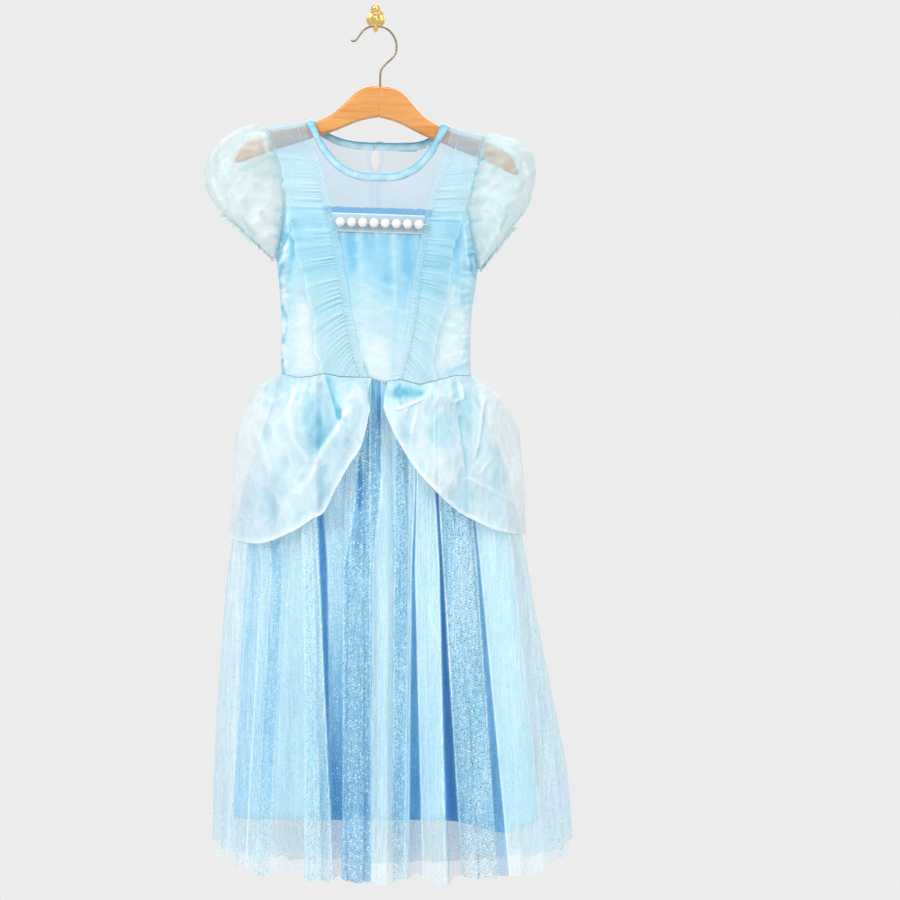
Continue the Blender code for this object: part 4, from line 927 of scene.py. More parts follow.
# ---------------------------------------------------------------- Ruffles
# Strips of blue net, gathered along one stitch line and sewn over the princess seams from the
# shoulders to the waist: a narrow header inwards and a wide flounce outwards.
RuffleLine = namedtuple("RuffleLine", "z left left_edge right right_edge")
RUFFLE_LINES = (
    RuffleLine(-130, -95.4, -126, 101.5, 127), RuffleLine(-160, -87.5, -119, 95, 124),
    RuffleLine(-186, -75, -113.5, 87, 119), RuffleLine(-204, -70.5, -109.5, 79.5, 113),
    RuffleLine(-232, -63, -105.5, 69.6, 107), RuffleLine(-261, -55.4, -101, 64.4, 99.5),
    RuffleLine(-284, -50.8, -95.4, 60, 93.5), RuffleLine(-311, -46.8, -88, 55.7, 90),
    RuffleLine(-343, -41.2, -78.5, 52.2, 86.5), RuffleLine(-371, -36.2, -76, 48, 78),
    RuffleLine(-395, -31.4, -74, 42.8, 72), RuffleLine(-431, -19.6, -64, 33, 72),
)
RUFFLE_HEADER = 9.5
# How steeply the flounce's pleats fall away from the stitching, in degrees, by height.
FAN_HEIGHTS = (-431.0, -370.0, -310.0, -232.0, -130.0)
FAN_ANGLES = (44.0, 30.0, 12.0, 1.0, -6.0)
FIRST_PLEAT = -134.0
LAST_PLEAT = -470.0
HEADER_PITCH = 4.4
OVER_SHOULDER = 0.04            # the share of a ruffle that bends over the shoulder
ruffle_net = net_material(
    "gathered blue net", ((0.20, 0.53, 0.72), (0.40, 0.69, 0.79), (0.64, 0.78, 0.82)), 0.14)
thread = satin_material(
    "pale blue thread", 0.4, ((0.26, 0.52, 0.66), (0.43, 0.63, 0.70), (0.58, 0.68, 0.71)))


def ruffle_place(hand, along, across):
    """x and z of a place on a ruffle: along it from the shoulder, across it from the stitching."""
    nominal = RUFFLE_LINES[0].z + (RUFFLE_LINES[-1].z - RUFFLE_LINES[0].z) * along
    stitch = read(RUFFLE_LINES, hand, nominal)
    edge = read(RUFFLE_LINES, hand + "_edge", nominal)
    header = stitch - np.sign(edge - stitch) * RUFFLE_HEADER * -across
    x = np.where(across < 0, header, stitch + (edge - stitch) * across)
    top = shoulder_top(x)
    over = top - SHOULDER_BEND * (1 - np.cos(unit(along / OVER_SHOULDER) * math.pi / 2))
    foot = waist_line(x, 1) + 1.2
    share = (along - OVER_SHOULDER) / (1 - OVER_SHOULDER)
    down = top - SHOULDER_BEND + (foot - top + SHOULDER_BEND) * share
    return x, np.where(along < OVER_SHOULDER, over, down)


for hand, way in (("left", -1), ("right", 1)):
    seed = 31 if hand == "left" else 37
    chance = np.random.default_rng(seed)
    along = np.linspace(0, 1, 700)[None, :]
    across = np.concatenate([np.linspace(-1, 0, 10)[:-1], np.linspace(0, 1, 34)])[:, None]
    spread = np.abs(across)
    x, z = ruffle_place(hand, along, across)
    beside = np.abs(x - read(RUFFLE_LINES, hand, z))
    starts = z + np.tan(np.radians(np.interp(z, FAN_HEIGHTS, FAN_ANGLES))) * beside
    valleys, ridges = np.zeros_like(x), np.zeros_like(x)
    place = FIRST_PLEAT
    while place > LAST_PLEAT:
        place -= chance.uniform(1.8, 6.0)
        width = chance.uniform(0.5, 1.2)
        depth = chance.uniform(0.15, 1.0) ** 1.6
        reach = chance.uniform(0.4, 1.5)
        far = unit(1.25 - spread / reach) * np.where(place > -200.0, 0.5, 1.0)
        open_width = width * (1 + 1.2 * spread)
        valleys += depth * far * bell((starts - place) / open_width)
        ridges += depth * far * bell((starts - place - 2.2 * open_width) / (1.3 * open_width))
    waves = row_ripples(starts, 15.0, seed + 1)
    broad = row_ripples(starts, 30.0, seed + 2)
    header = across < 0
    tight = np.sin(2 * math.pi * (starts - 0.5 * beside) / HEADER_PITCH
                   + 2.5 * row_ripples(starts, 14.0, seed + 3))
    tight = tight * np.clip(0.8 + 0.5 * row_ripples(starts, 24.0, seed + 4), 0.2, 1.3)
    flounce = 1.9 + 3.1 * np.minimum(spread * 2.2, 1.0) - 1.7 * valleys + 0.5 * ridges
    flounce += spread ** 1.2 * (1.2 * waves + 1.3 * broad)
    out = np.where(header, 1.9 + 0.9 * spread + 0.3 * tight * spread ** 0.4, flounce)
    edge_wave = across * (1 + 0.045 * waves * spread ** 3)
    x, z = ruffle_place(hand, along, edge_wave)
    points = torso_point(x, z, 1, out)
    low = unit((-215.0 - z) / 40.0)
    over_wood = unit((z + 168.0) / 14.0)
    edges = bell((1 - spread) / 0.03)
    # Painted light and shade: shade in the pleats' valleys, highlights on their ridges and on the
    # edges, where the net also covers more closely, darker where it lies over the hanger and high
    # up, and lighter towards the waist.
    light = np.where(header, 0.56 + 0.13 * tight - 0.25 * valleys,
                     0.56 - 0.56 * valleys + 0.36 * ridges + 0.08 * broad)
    light = light + 0.18 * edges + 0.05 * waves - 0.4 * over_wood
    light = light - 0.06 * (1 - low)
    light = light + 0.18 * np.clip((-330.0 - z) / 80.0, -0.5, 1.0)
    cover = np.where(header, 0.34 + 0.06 * tight, 0.34 + 0.30 * valleys + 0.12 * ridges)
    cover = cover + 0.20 * low + 0.14 * edges - 0.12 * over_wood
    cover = cover - 0.16 * low * spread
    if hand == "left":
        points, light, cover = points[::-1], light[::-1], cover[::-1]
    ruffle = grid_piece("ruffle_net_" + hand, np.swapaxes(points, 0, 1),
                        light=light.T, cover=cover.T)
    fit_piece(ruffle, "ruffle_net", ruffle_net, "ruffle_" + hand)
    stitch_along = np.linspace(0.01, 0.995, 500)
    x, z = ruffle_place(hand, stitch_along, 0.0 * stitch_along)
    dotted = 0.5 + 0.5 * np.sin(2 * math.pi * stitch_along * 90)
    stitching = tube_piece("ruffle_stitching_" + hand, torso_point(x, z, 1, 1.9 + 0.5 * dotted),
                           0.20 + 0.12 * dotted, 5, (0.0, 1.0, 0.0),
                           light=(0.45 + 0.35 * dotted)[:, None])
    fit_piece(stitching, "ruffle_net", thread)

# ---------------------------------------------------------------- Pearl band
# A pale satin band across the top of the front between the ruffles, with eight round pearls
# sewn along it on a clear cord.
band_satin = satin_material(
    "pale band", 0.4, ((0.20, 0.36, 0.48), (0.335, 0.46, 0.54), (0.60, 0.68, 0.71)), 0.2)
PEARL_TILT = 0.035
BAND_TOP = -236.8
BAND_TALL = 22.8
band_rows = np.linspace(0, 1, 24)[:, None]
band_z = BAND_TOP - BAND_TALL * band_rows
left_end = read(RUFFLE_LINES, "left", band_z) + RUFFLE_HEADER - 1.0
right_end = read(RUFFLE_LINES, "right", band_z) - RUFFLE_HEADER + 1.0
x = left_end + (right_end - left_end) * np.linspace(0, 1, 90)
rounded = 0.9 * np.sin(math.pi * band_rows) ** 0.35
# Painted highlights along the band's rounded top and bottom edges.
band_edge_highlights = bell((0.5 - np.abs(band_rows - 0.5)) / 0.05)
points = torso_point(x, band_z - PEARL_TILT * x, 1, 0.8 + rounded)
band = thicken(grid_piece("pearl_band_satin", points, light=0.48 + 0.6 * band_edge_highlights), 0.4)
fit_piece(band, "band", band_satin, "pearl_band")

pearl_gloss = mottled_material(
    "glossy pearl", 0.16, 160.0, 2.0, (0.35, (0.66, 0.63, 0.61)), (0.65, (0.73, 0.71, 0.69)),
    Coat_Weight=0.6, Coat_Roughness=0.08, Sheen_Weight=0.3)[0]
PEARL_RADIUS = 5.75
FIRST_PEARL_X = -42.1
PEARL_PITCH = 13.45
PEARL_Z = -248.0
PEARL_SEAT = 2.0                # from the bodice's face to the pearls' backs
for index in range(8):
    x = FIRST_PEARL_X + PEARL_PITCH * index
    z = PEARL_Z - PEARL_TILT * x
    centre = torso_point(np.array(x), np.array(z), 1, PEARL_SEAT + PEARL_RADIUS)
    bpy.ops.object.select_all(action="DESELECT")
    bpy.ops.mesh.primitive_uv_sphere_add(segments=40, ring_count=24, radius=PEARL_RADIUS * MM,
                                         rotation=(0.0, math.radians(90), 0.0))
    pearl = bpy.context.object
    bpy.ops.object.transform_apply(location=False, rotation=True, scale=False)
    pearl.name = pearl.data.name = f"pearl_bead_{index + 1}"
    bpy.ops.object.mode_set(mode="EDIT")
    bead = bmesh.from_edit_mesh(pearl.data)
    poles = [vertex for vertex in bead.verts if len(vertex.link_edges) > 10]
    for vertex in poles:
        vertex.co.x *= 0.93
    bmesh.ops.translate(bead, verts=bead.verts, vec=Vector(centre) * MM)
    bmesh.update_edit_mesh(pearl.data)
    bpy.ops.object.mode_set(mode="OBJECT")
    pearl.data.shade_smooth()
    fit_piece(pearl, "pearl", pearl_gloss, f"pearl_{index + 1}")
x = np.linspace(-50.0, 62.0, 60)
cord_points = torso_point(x, PEARL_Z - PEARL_TILT * x, 1, PEARL_SEAT + PEARL_RADIUS)
cord_points[[0, -1], 1] += 5.0
strand = tube_piece("pearl_thread", cord_points, np.full(60, 0.5), 8, (0.0, 0.0, 1.0))
fit_piece(strand, "pearl", pearl_gloss)

# ---------------------------------------------------------------- Puff sleeves
# Crisp sheer organza, gathered into the armhole and again by an elastic sewn above the edge,
# so that it blows up between and ends in a small frill.
SleeveRow = namedtuple("SleeveRow", "along left_x left_z right_x right_z front back")
SLEEVE_ROWS = (
    SleeveRow(0.00, -130, -138, 131, -147, 12, 10),
    SleeveRow(0.09, -138, -131.5, 136, -140.5, 25, 17),
    SleeveRow(0.25, -162.6, -133.2, 158, -142, 35, 22),
    SleeveRow(0.42, -186, -147, 178.5, -151.5, 39, 24),
    SleeveRow(0.56, -200, -164, 189, -163.5, 39.5, 24),
    SleeveRow(0.70, -206.2, -187, 193, -182, 36, 23.5),
    SleeveRow(0.83, -203, -207, 190, -206, 30, 21),
    SleeveRow(0.93, -193, -224, 181, -231, 22, 17),
    SleeveRow(1.00, -180.5, -236, 163, -252, 15, 13),
)
# How far the cuff's lowest point lies from the armhole's, aside and up.
UNDERARM = {"left": (-4.0, -1.0), "right": (3.5, -1.0)}
# The painted light of each sleeve, the left one lighter.
SLEEVE_LIGHT = {"left": 0.82, "right": 0.68}
SLEEVE_FRILL = 6.0
FRILL_ROWS = np.linspace(0, 1, 14)[1:]
FRILL_SHARE = 0.1               # what the frill adds to the way along a sleeve
GATHERS = 26
# The sleeves' larger creases, seen from the front, with their painted highlights and shade.
SLEEVE_MARKS = {
    "left": (
        Mark(((-133, -143), (-127, -166)), 5, 4, 0.5, 0.10, 0.32),
        Mark(((-154, -147), (-134, -137)), 5, 6, 0.3, 0.05, 0.25),
        Mark(((-124, -168), (-148, -180), (-164, -187)), 2.2, 2.2, -1.2, -0.30, 0.12),
        Mark(((-118, -191), (-134, -198), (-143, -203)), 2.2, 2.2, -1, -0.22, 0.10),
        Mark(((-126, -226), (-138, -238), (-151, -245)), 3, 3, -1, -0.25, 0.10),
        Mark(((-197, -197), (-190, -214), (-182, -229)), 3.5, 3.5, 1, 0.30, 0.25),
        Mark(((-130, -232), (-143, -252)), 9, 9, 1, 0.20, 0.10),
        Mark(((-150, -160), (-128, -152)), 3, 3, 0.8, 0.20, 0.05),
        Mark(((-184, -226), (-180, -232)), 2.5, 2.5, -0.8, -0.35, 0.20),
        Mark(((-157, -247), (-146, -262), (-151, -270)), 2.2, 2.2, -0.8, -0.45, 0.25),
        Mark(((-176, -172), (-184, -212)), 4, 4, 0.6, -0.12, 0.05),
    ),
    "right": (
        Mark(((129, -150), (124, -172)), 4, 5, 0.5, 0.10, 0.32),
        Mark(((138, -147), (158, -152)), 4, 6, 0.3, 0.05, 0.25),
        Mark(((124, -168), (146, -184), (160, -200)), 2.2, 2.2, -1.2, -0.28, 0.12),
        Mark(((122, -196), (138, -212), (150, -230)), 2.2, 2.2, -1, -0.24, 0.10),
        Mark(((180, -176), (184, -200), (176, -226)), 3.5, 3.5, 1, 0.30, 0.22),
        Mark(((134, -240), (148, -262)), 8, 8, 1, 0.20, 0.10),
        Mark(((160, -240), (150, -256)), 2.2, 2.2, -0.8, -0.40, 0.20),
        Mark(((166, -168), (172, -206)), 4, 4, 0.6, -0.12, 0.05),
    ),
}


def organza_material(name, colours, scale):
    """Crisp organza, toned by the light painted on its pieces, which is lighter on their ridges,
    and finely crinkled all over.
    """
    material, tree, shader = sheer_material(name, 0.45, colours, (24.0, 24.0, 24.0), 0.12,
                                            Sheen_Weight=0.25, Sheen_Roughness=0.35)
    crinkles = add_node(tree, "TexNoise", {"noise_type": "RIDGED_MULTIFRACTAL"}, Scale=scale,
                        Detail=4.0, Vector=surface_place(tree, (1.0, 1.0, 1.0)), Roughness=0.5,
                        Distortion=0.8)
    put_bump(tree, shader, crinkles.outputs["Fac"], 0.3, 0.004)
    return material


sleeve_organza = organza_material(
    "sheer sleeve organza", ((0.12, 0.41, 0.49), (0.40, 0.62, 0.67), (0.63, 0.70, 0.705)), 34.0)


def armhole_line(hand, side, z):
    """Points of the armhole, on the yoke's edge or on the curve cut into the bodice."""
    top_x = read(ARMHOLES, hand, BODICE_TOP)
    top_z = bodice_top(top_x)
    edge = side_turn(hand, side, top_x, BODICE_TOP)
    bottom = ARMHOLE_BOTTOM[hand]
    x_high = read(ARMHOLES, hand, z)
    turn = edge * np.sqrt(np.clip(z - bottom, 0.0, None) / (top_z - bottom))
    x_low, y_low = ring_point(BODY, z, turn_angle(hand, side, turn))
    high = z >= top_z
    return np.stack([np.where(high, x_high, x_low),
                     np.where(high, torso_y(x_high, z, side), y_low), z], axis=-1)


for hand, way in (("left", -1), ("right", 1)):
    columns, rows = 240, 78
    turn = np.linspace(0, 2 * math.pi, columns, endpoint=False)
    sine, cosine = np.sin(turn), np.cos(turn)
    top_z = float(shoulder_top(read(ARMHOLES, hand, ARMHOLE_TOP)))
    bottom = ARMHOLE_BOTTOM[hand]
    under = armhole_line(hand, 1, np.array(bottom)) + np.array((way * 0.2, 0.0, 0.0))
    edge_z = top_z + (bottom - top_z) * (1 - cosine) / 2
    edge = np.where((sine >= 0)[:, None], armhole_line(hand, 1, edge_z),
                    armhole_line(hand, -1, edge_z))
    edge[:, 0] += way * 0.2

    # The ungathered form, from its crown line to its underarm.
    along = (np.linspace(0, 1, rows) ** 0.9)[:, None]
    crown = np.stack([read(SLEEVE_ROWS, hand + "_x", along), MID_Y + 0 * along,
                      read(SLEEVE_ROWS, hand + "_z", along)], axis=-1)
    low = under + np.array((UNDERARM[hand][0], 0.0, UNDERARM[hand][1])) * along[..., None]
    low[..., 1] = MID_Y
    points = crown + (low - crown) * ((1 - cosine) / 2)[None, :, None]
    depth = np.where(sine >= 0, -read(SLEEVE_ROWS, "front", along),
                     read(SLEEVE_ROWS, "back", along))
    points[..., 1] += depth * np.abs(sine) ** 0.85
    settle = np.clip(1 - along / 0.3, 0.0, None)[..., None] ** 2
    points += (edge - points[0]) * settle
    # The frill beyond the elastic, which draws the cuff in.
    cuff = points[-1]
    line = cuff[columns // 2] - cuff[0]
    out_way = np.array((line[2] * -way, 0.0, line[0] * way))
    out_way /= np.linalg.norm(out_way)
    radial = cuff - cuff.mean(axis=0)
    radial /= np.linalg.norm(radial, axis=1, keepdims=True)
    taper = (0.2 + 0.8 * (1 + cosine) / 2)[:, None]
    frill = [cuff + out_way * taper * SLEEVE_FRILL * step
             + radial * (3.2 * step ** 1.4 - 2.6 * bell(step * 5)) for step in FRILL_ROWS]
    for row, drawn_in in ((-1, 2.6), (-2, 1.6), (-3, 0.6)):
        points[row] -= radial * drawn_in
    points = np.concatenate([points, frill])
    far = np.concatenate([along[:, 0], 1 + FRILL_SHARE * FRILL_ROWS])[:, None]
    seed = 51 if way < 0 else 57
    phase = row_ripples(turn * 60.0, 90.0, seed) * 1.4
    uneven = row_ripples(turn * 60.0, 30.0, seed + 4)
    top_end = bell(far / 0.2)
    cuff_end = bell((1 - far) / 0.1)
    ends = (top_end * np.minimum(far / 0.02, 1.0) + cuff_end) * (0.7 + 0.3 * uneven)
    gathers = ends * 1.3 * np.sin(GATHERS * turn + phase) + 0.7 * np.sin(11 * turn + phase * 1.7)
    frill_wave = 0.9 * np.sin(17 * turn + phase * 2.2) + 0.9 * uneven
    frill_wave = unit((far - 1) / FRILL_SHARE) * frill_wave
    middle = unit(np.sin(math.pi * unit(far))) ** 0.6
    creased = 0.45 - np.abs(ripples(points, 34.0, seed + 1, (1.0, 0.7, 1.0)))
    fine = 0.4 - np.abs(ripples(points, 15.0, seed + 2))
    weave = ripples(points, 7.0, seed + 3)
    round_cuff = np.broadcast_arrays(30 * sine[None, :], 30 * cosine[None, :], far * 9.0)
    strands = ripples(np.stack(round_cuff, axis=-1), 7.0, seed + 5)
    crumple = creased * 2.0 + fine * 0.5 + weave * 0.1 + strands * 0.35
    facing_front = unit(sine * 2)[None, :]
    marked = fold_marks(points[..., 0], points[..., 2], SLEEVE_MARKS[hand]) * facing_front
    # Painted shade in the gathers' valleys at the crown and at the cuff.
    valley = unit(-np.sin(GATHERS * turn + phase)) ** 3 * (0.5 + 0.5 * uneven)
    valley = valley * np.maximum(top_end, cuff_end)
    # Painted light and shade: highlights on the crumples and the marks, shade at the crown and
    # under the elastic on the sleeve's under half, and the frill lighter.
    light = SLEEVE_LIGHT[hand] + 0.05 * creased + 0.05 * fine + 0.03 * weave + 0.09 * strands
    light = light + marked[1] - 0.55 * valley - 0.10 * bell(far / 0.05)
    under_half = np.clip(0.9 - 1.1 * cosine, 0.15, 1.0)[None, :]
    light = light - 0.30 * under_half * bell((far - 1.004) / 0.012)
    light = light + 0.08 * unit((far - 1.02) / 0.08)
    cover = 0.46 + 0.07 * creased + 0.04 * fine + 0.05 * strands + marked[2]
    cover = cover + 0.16 * valley + 0.12 * cuff_end
    normals = sheet_normals(points, closed=True)
    outwards = np.sign(np.sum(normals * (points - points.mean(axis=1, keepdims=True))))
    lift = gathers + frill_wave + (crumple + marked[0]) * middle - 0.6 * middle
    points = points + normals * outwards * lift[..., None]
    turned = slice(None) if way > 0 else slice(None, None, -1)
    sleeve = grid_piece("puff_sleeve_" + hand, points[:, turned], closed=True,
                        light=light[:, turned], cover=cover[:, turned])
    fit_piece(sleeve, "organza", sleeve_organza, "sleeve_" + hand)
    elastic = points[rows - 3:rows + 2] + normals[rows - 3:rows + 2] * outwards * 0.35
    # Painted light: darker on the elastic's under half, with highlights on its shirring.
    elastic_light = 0.75 - 0.3 * under_half[0] + 0.15 * np.sin(60 * turn)
    elastic = grid_piece("sleeve_elastic_" + hand, elastic[:, turned], closed=True,
                         light=elastic_light[turned], cover=0.35)
    fit_piece(elastic, "organza", sleeve_organza)
    centre = edge.mean(axis=0)
    radial = edge - centre
    radial[:, 0] = 0.0
    radial /= np.linalg.norm(radial, axis=1, keepdims=True)
    aside = np.array((-3.4, -2.4, -1.2, 0.0, 1.2, 2.2))[:, None, None] * np.array((way, 0.0, 0.0))
    raised = np.array((0.3, 0.8, 1.1, 1.2, 0.9, 0.3))[:, None, None] * radial
    seam = edge + aside + raised
    # Painted highlight and shade across the seam's ridge.
    seam_light = 0.50 + 0.08 * uneven + 0.2 * np.array((0.0, 1.0, -1.0, 0.5, 0.0, 0.0))[:, None]
    seam = grid_piece("armhole_seam_" + hand, seam[:, turned], closed=True,
                      light=seam_light[:, turned], cover=0.5)
    fit_piece(seam, "organza", sleeve_organza)

# ---------------------------------------------------------------- Skirt
# Two layers joined at the waist: a blue satin lining, and over it a very full net skirt strewn
# with glitter, which falls in deep soft folds and hangs lower.
LINING = (
    Section(-432, -111, 112, -11, -47), Section(-444, -113.5, 114.5, -15.5, -50),
    Section(-470, -120, 121, -16, -56), Section(-535, -138, 142, -17, -66),
    Section(-621, -153, 160, -18, -77), Section(-720, -160, 172, -18.5, -86),
    Section(-850, -167, 187, -18.5, -94), Section(-1000, -173, 199, -18.5, -101),
)
NET_SKIRT = (
    Section(-432, -114, 115, -8, -50), Section(-444, -117, 118, -12, -53.5),
    Section(-470, -125, 127, -13.5, -61), Section(-535, -149, 154, -13.5, -73),
    Section(-621, -171, 174.5, -13.5, -85), Section(-720, -182, 193, -14, -94),
    Section(-800, -187.5, 208, -14, -99), Section(-904, -193.5, 228, -14, -104),
    Section(-1036, -196, 239, -14, -110),
)
SKIRT_TOP = -432.2
FOLD_HEIGHTS = (-1000.0, -604.0, SKIRT_TOP)
WAIST_SHARE = 0.69
BACK_GATHERS = 18
WAIST_GATHERS = 85
LINING_HEM = -962.0
NET_HEM = {"front": -1036.0, "back": -1022.0, "side": -986.0}
Fold = namedtuple("Fold", "top_x hem_x top_half hem_half height")
FRONT_FOLDS = (
    Fold(-162, -180, 8.5, 10, 6), Fold(-131, -153, 8.5, 11, 9), Fold(-101.4, -124.8, 12, 14.5, 14),
    Fold(-75.6, -64.2, 11, 17, 24), Fold(-22.2, -21, 15, 17, 13), Fold(8.4, 9.6, 11, 11.5, 22),
    Fold(32.5, 32.4, 9, 9, 9), Fold(63, 73.2, 13.5, 14.5, 25), Fold(97.8, 126.6, 16, 19, 15),
    Fold(142, 175, 17, 24, 19), Fold(166, 218, 8, 12, 7),
)
BAND_HEIGHTS = (-927.0, -658.0, -566.0)
# Where each fold or hollow of the net begins, at three heights. Light is its painted light and
# shade, low_light that near the hem, cover how closely its layers lie, rim a painted highlight
# along the turned edge at its start, where the layers also cover more closely, and lining the
# painted light and shade of the satin behind it.
SkirtBand = namedtuple("SkirtBand", "high middle low light low_light cover tail rim glitter lining")
SKIRT_BANDS = (
    SkirtBand(-400, -400, -400, 0.95, 0.85, 0.42, 0.35, 0, 0.6, 0.70),
    SkirtBand(-167.4, -150.6, -172.2, 0.80, 0.75, 0.45, 0.40, 0.3, 0.7, 0.70),
    SkirtBand(-150.6, -136.2, -151, 0.85, 0.80, 0.52, 0.50, 0.4, 0.7, 0.80),
    SkirtBand(-136.2, -125.4, -139, 0.62, 0.60, 0.58, 0.50, 0.4, 0.9, 0.62),
    SkirtBand(-114.6, -109.1, -121.1, 0.92, 0.85, 0.38, 0.30, -0.4, 0.6, 0.98),
    SkirtBand(-90.6, -85.8, -83.8, 0.74, 0.60, 0.60, 0.60, 0.4, 0.9, 0.85),
    SkirtBand(-71.4, -67, -54.5, 0.10, 0.00, 0.20, 0.30, -1, 0.5, 0.12),
    SkirtBand(-64.2, -57.5, -54, 0.80, 0.04, 0.45, 0.35, 0.4, 0.8, 0.74),
    SkirtBand(-22.5, -38.4, -39, 0.48, 0.28, 0.72, 0.86, 0.5, 1.2, 0.38),
    SkirtBand(-5.4, -4.7, -4.7, 0.50, 0.60, 0.60, 0.60, -0.6, 1.2, 0.55),
    SkirtBand(6.6, -3.6, -4.2, 0.92, 0.88, 0.40, 0.42, 0.5, 0.5, 0.98),
    SkirtBand(23, 22.2, 20.8, 0.48, 0.45, 0.72, 0.55, 0.5, 1.2, 0.45),
    SkirtBand(40.2, 38.6, 35.4, 0.80, 0.60, 0.55, 0.60, 0.3, 0.7, 0.75),
    SkirtBand(48, 44, 41.4, 0.20, 0.15, 0.22, 0.30, -0.7, 0.5, 0.20),
    SkirtBand(49.2, 47.2, 54, 0.92, 0.80, 0.50, 0.35, 0.9, 0.6, 0.92),
    SkirtBand(71.8, 76.6, 83, 0.02, 0.00, 0.20, 0.25, -0.8, 0.4, 0.00),
    SkirtBand(75, 80.8, 97, 0.60, 0.52, 0.72, 0.45, 1, 1.2, 0.55),
    SkirtBand(114, 121.8, 139.8, 0.25, 0.20, 0.40, 0.60, -0.5, 0.6, 0.18),
    SkirtBand(115.6, 125.4, 150.6, 0.95, 0.88, 0.34, 0.40, 0.9, 0.5, 1.00),
    SkirtBand(174.6, 179.4, 201, 0.95, 0.80, 0.45, 0.42, 0.2, 0.8, 0.60),
)
# Painted shade in the net's hollows just under the drapes, which the bands don't reach.
SKIRT_MARKS = (
    Mark(((-18.6, -530), (-18.2, -546)), 2.4, 2.4, 0, -0.50, -0.10),
    Mark(((-18.2, -552), (-18.4, -588)), 4, 4, 0, -0.55, -0.15),
    Mark(((-19, -604), (-21, -634)), 5, 5, 0, -0.22, -0.05),
    Mark(((-8.8, -470), (-8.6, -545)), 1.2, 1.2, 0, -0.40, 0),
    Mark(((4.4, -456), (5.2, -545)), 2.4, 1.6, 0, -0.34, 0),
    Mark(((9, -440), (9, -480)), 16, 12, 0, -0.25, 0),
)


def fold_form(x, z, angle):
    """The net's folds at a place of its ring: how far they stand out, and how far they tuck in.

    They tuck in sideways, so that the cloth doubles over itself.
    """
    grow = np.interp(z, FOLD_HEIGHTS, (1.0, 0.5, 0.08))
    lift, slide = np.zeros_like(x), np.zeros_like(x)
    front = np.sin(angle) >= 0
    for fold in FRONT_FOLDS:
        place = np.interp(z, FOLD_HEIGHTS, (fold.hem_x, fold.top_x, fold.top_x * WAIST_SHARE))
        half = np.interp(z, FOLD_HEIGHTS,
                         (fold.hem_half, fold.top_half, fold.top_half * WAIST_SHARE))
        across = (x - place) / half
        lift += fold.height * np.exp(-0.7 * across ** 4)
        inside = unit(1 - across ** 2)
        tuck = np.interp(fold.height, (5.0, 12.0), (0.4, 1.0))
        slide += tuck * half * np.sin(2 * math.pi * np.clip(across, -1, 1)) / math.pi * inside
    back = 7.0 * (0.5 - 0.5 * np.cos(BACK_GATHERS * angle))
    lift = np.where(front, lift, back) * grow * np.minimum(np.abs(np.sin(angle)) * 3, 1.0)
    slide = np.where(front, slide, 0.0) * unit((SKIRT_TOP - z) / 90.0)
    return lift, slide


def seam_drop(x, z):
    """How far the tops of the skirt's layers follow the wavy waist seam."""
    return (waist_line(x, 1) - SKIRT_TOP) * bell((SKIRT_TOP - z) / 25.0)


def band_values(x, z):
    """Painted light, cover, glitter and the lining's painted light of the skirt's front at a place.
    """
    x, z = np.broadcast_arrays(x, z)
    low = unit((-700.0 - z) / 230.0)
    tail = unit((-945.0 - z) / 30.0)
    foot, knee, head = BAND_HEIGHTS
    fall = (head - np.minimum(z, head)) / (head - knee)
    deep = (knee - z) / (knee - foot)
    totals = np.zeros((4,) + x.shape)
    rims = np.zeros_like(x)
    last = np.zeros_like(totals)
    for band in SKIRT_BANDS:
        edge = np.where(deep > 0, band.middle + (band.low - band.middle) * deep,
                        band.high + (band.middle - band.high) * fall)
        own = np.stack([band.light + (band.low_light - band.light) * low,
                        band.cover + (band.tail - band.cover) * tail,
                        band.glitter + 0 * low,
                        band.lining + 0.8 * (band.low_light - band.light) * low])
        totals += (own - last) / (1 + np.exp(-np.clip((x - edge) / 0.55, -40, 40)))
        last = own
        beside = edge + (1.0 if band.rim > 0 else -1.0)
        rims += abs(band.rim) * bell((x - beside) / 0.9)
    _, tone, cover = fold_marks(x, z, SKIRT_MARKS)
    return totals + np.stack([0.45 * rims + tone, 0.35 * rims + cover, 0 * tone, tone])


def net_hem(angle):
    """Height of the net's lower edge, which rises towards the sides."""
    middle = np.where(np.sin(angle) >= 0, NET_HEM["front"], NET_HEM["back"])
    return middle + (NET_HEM["side"] - middle) * (1 - np.abs(np.sin(angle))) ** 1.2


def lining_hem(angle):
    """Height of the lining's lower edge, which sags at the front's right."""
    x = ring_point(LINING, LINING_HEM, angle)[0]
    sag = 24.0 * bell((x - 160.0) / 42.0)
    return LINING_HEM - sag * np.maximum(np.sin(angle), 0.0)


lining_satin, tree, shader = new_material("blue satin lining", 0.36, Sheen_Weight=0.15,
                                          Anisotropic=0.3)
cloud = noise(tree, (14.0, 14.0, 5.0), Detail=3.0)
tone = calculate(tree, "MULTIPLY_ADD", cloud, 0.24, -0.12)
tone = calculate(tree, "ADD", tone, point_value(tree, "light"))
# Its colour runs from deep blue in painted shade to pale blue in painted light.
colour(tree, shader, tone, (0.0, (0.010, 0.155, 0.470)), (0.5, (0.140, 0.480, 0.780)),
       (1.0, (0.510, 0.800, 0.880)))
put_bump(tree, shader, noise(tree, (30.0, 30.0, 12.0), Detail=4.0, Distortion=0.5), 0.35, 0.007)

# The net's glitter is small round foil dots; their colours, bright on some and dark on others at
# random, are painted glints.
glitter_net, tree, shader = new_material("blue glitter net", 0.7, Sheen_Weight=0.15,
                                         Sheen_Roughness=0.5)
streaks = noise(tree, (150.0, 1.0, 7.0), Detail=4.0, Roughness=0.6)
streak = calculate(tree, "SUBTRACT", streaks, 0.5)
tone = calculate(tree, "MULTIPLY_ADD", streak, 0.55, point_value(tree, "light"))
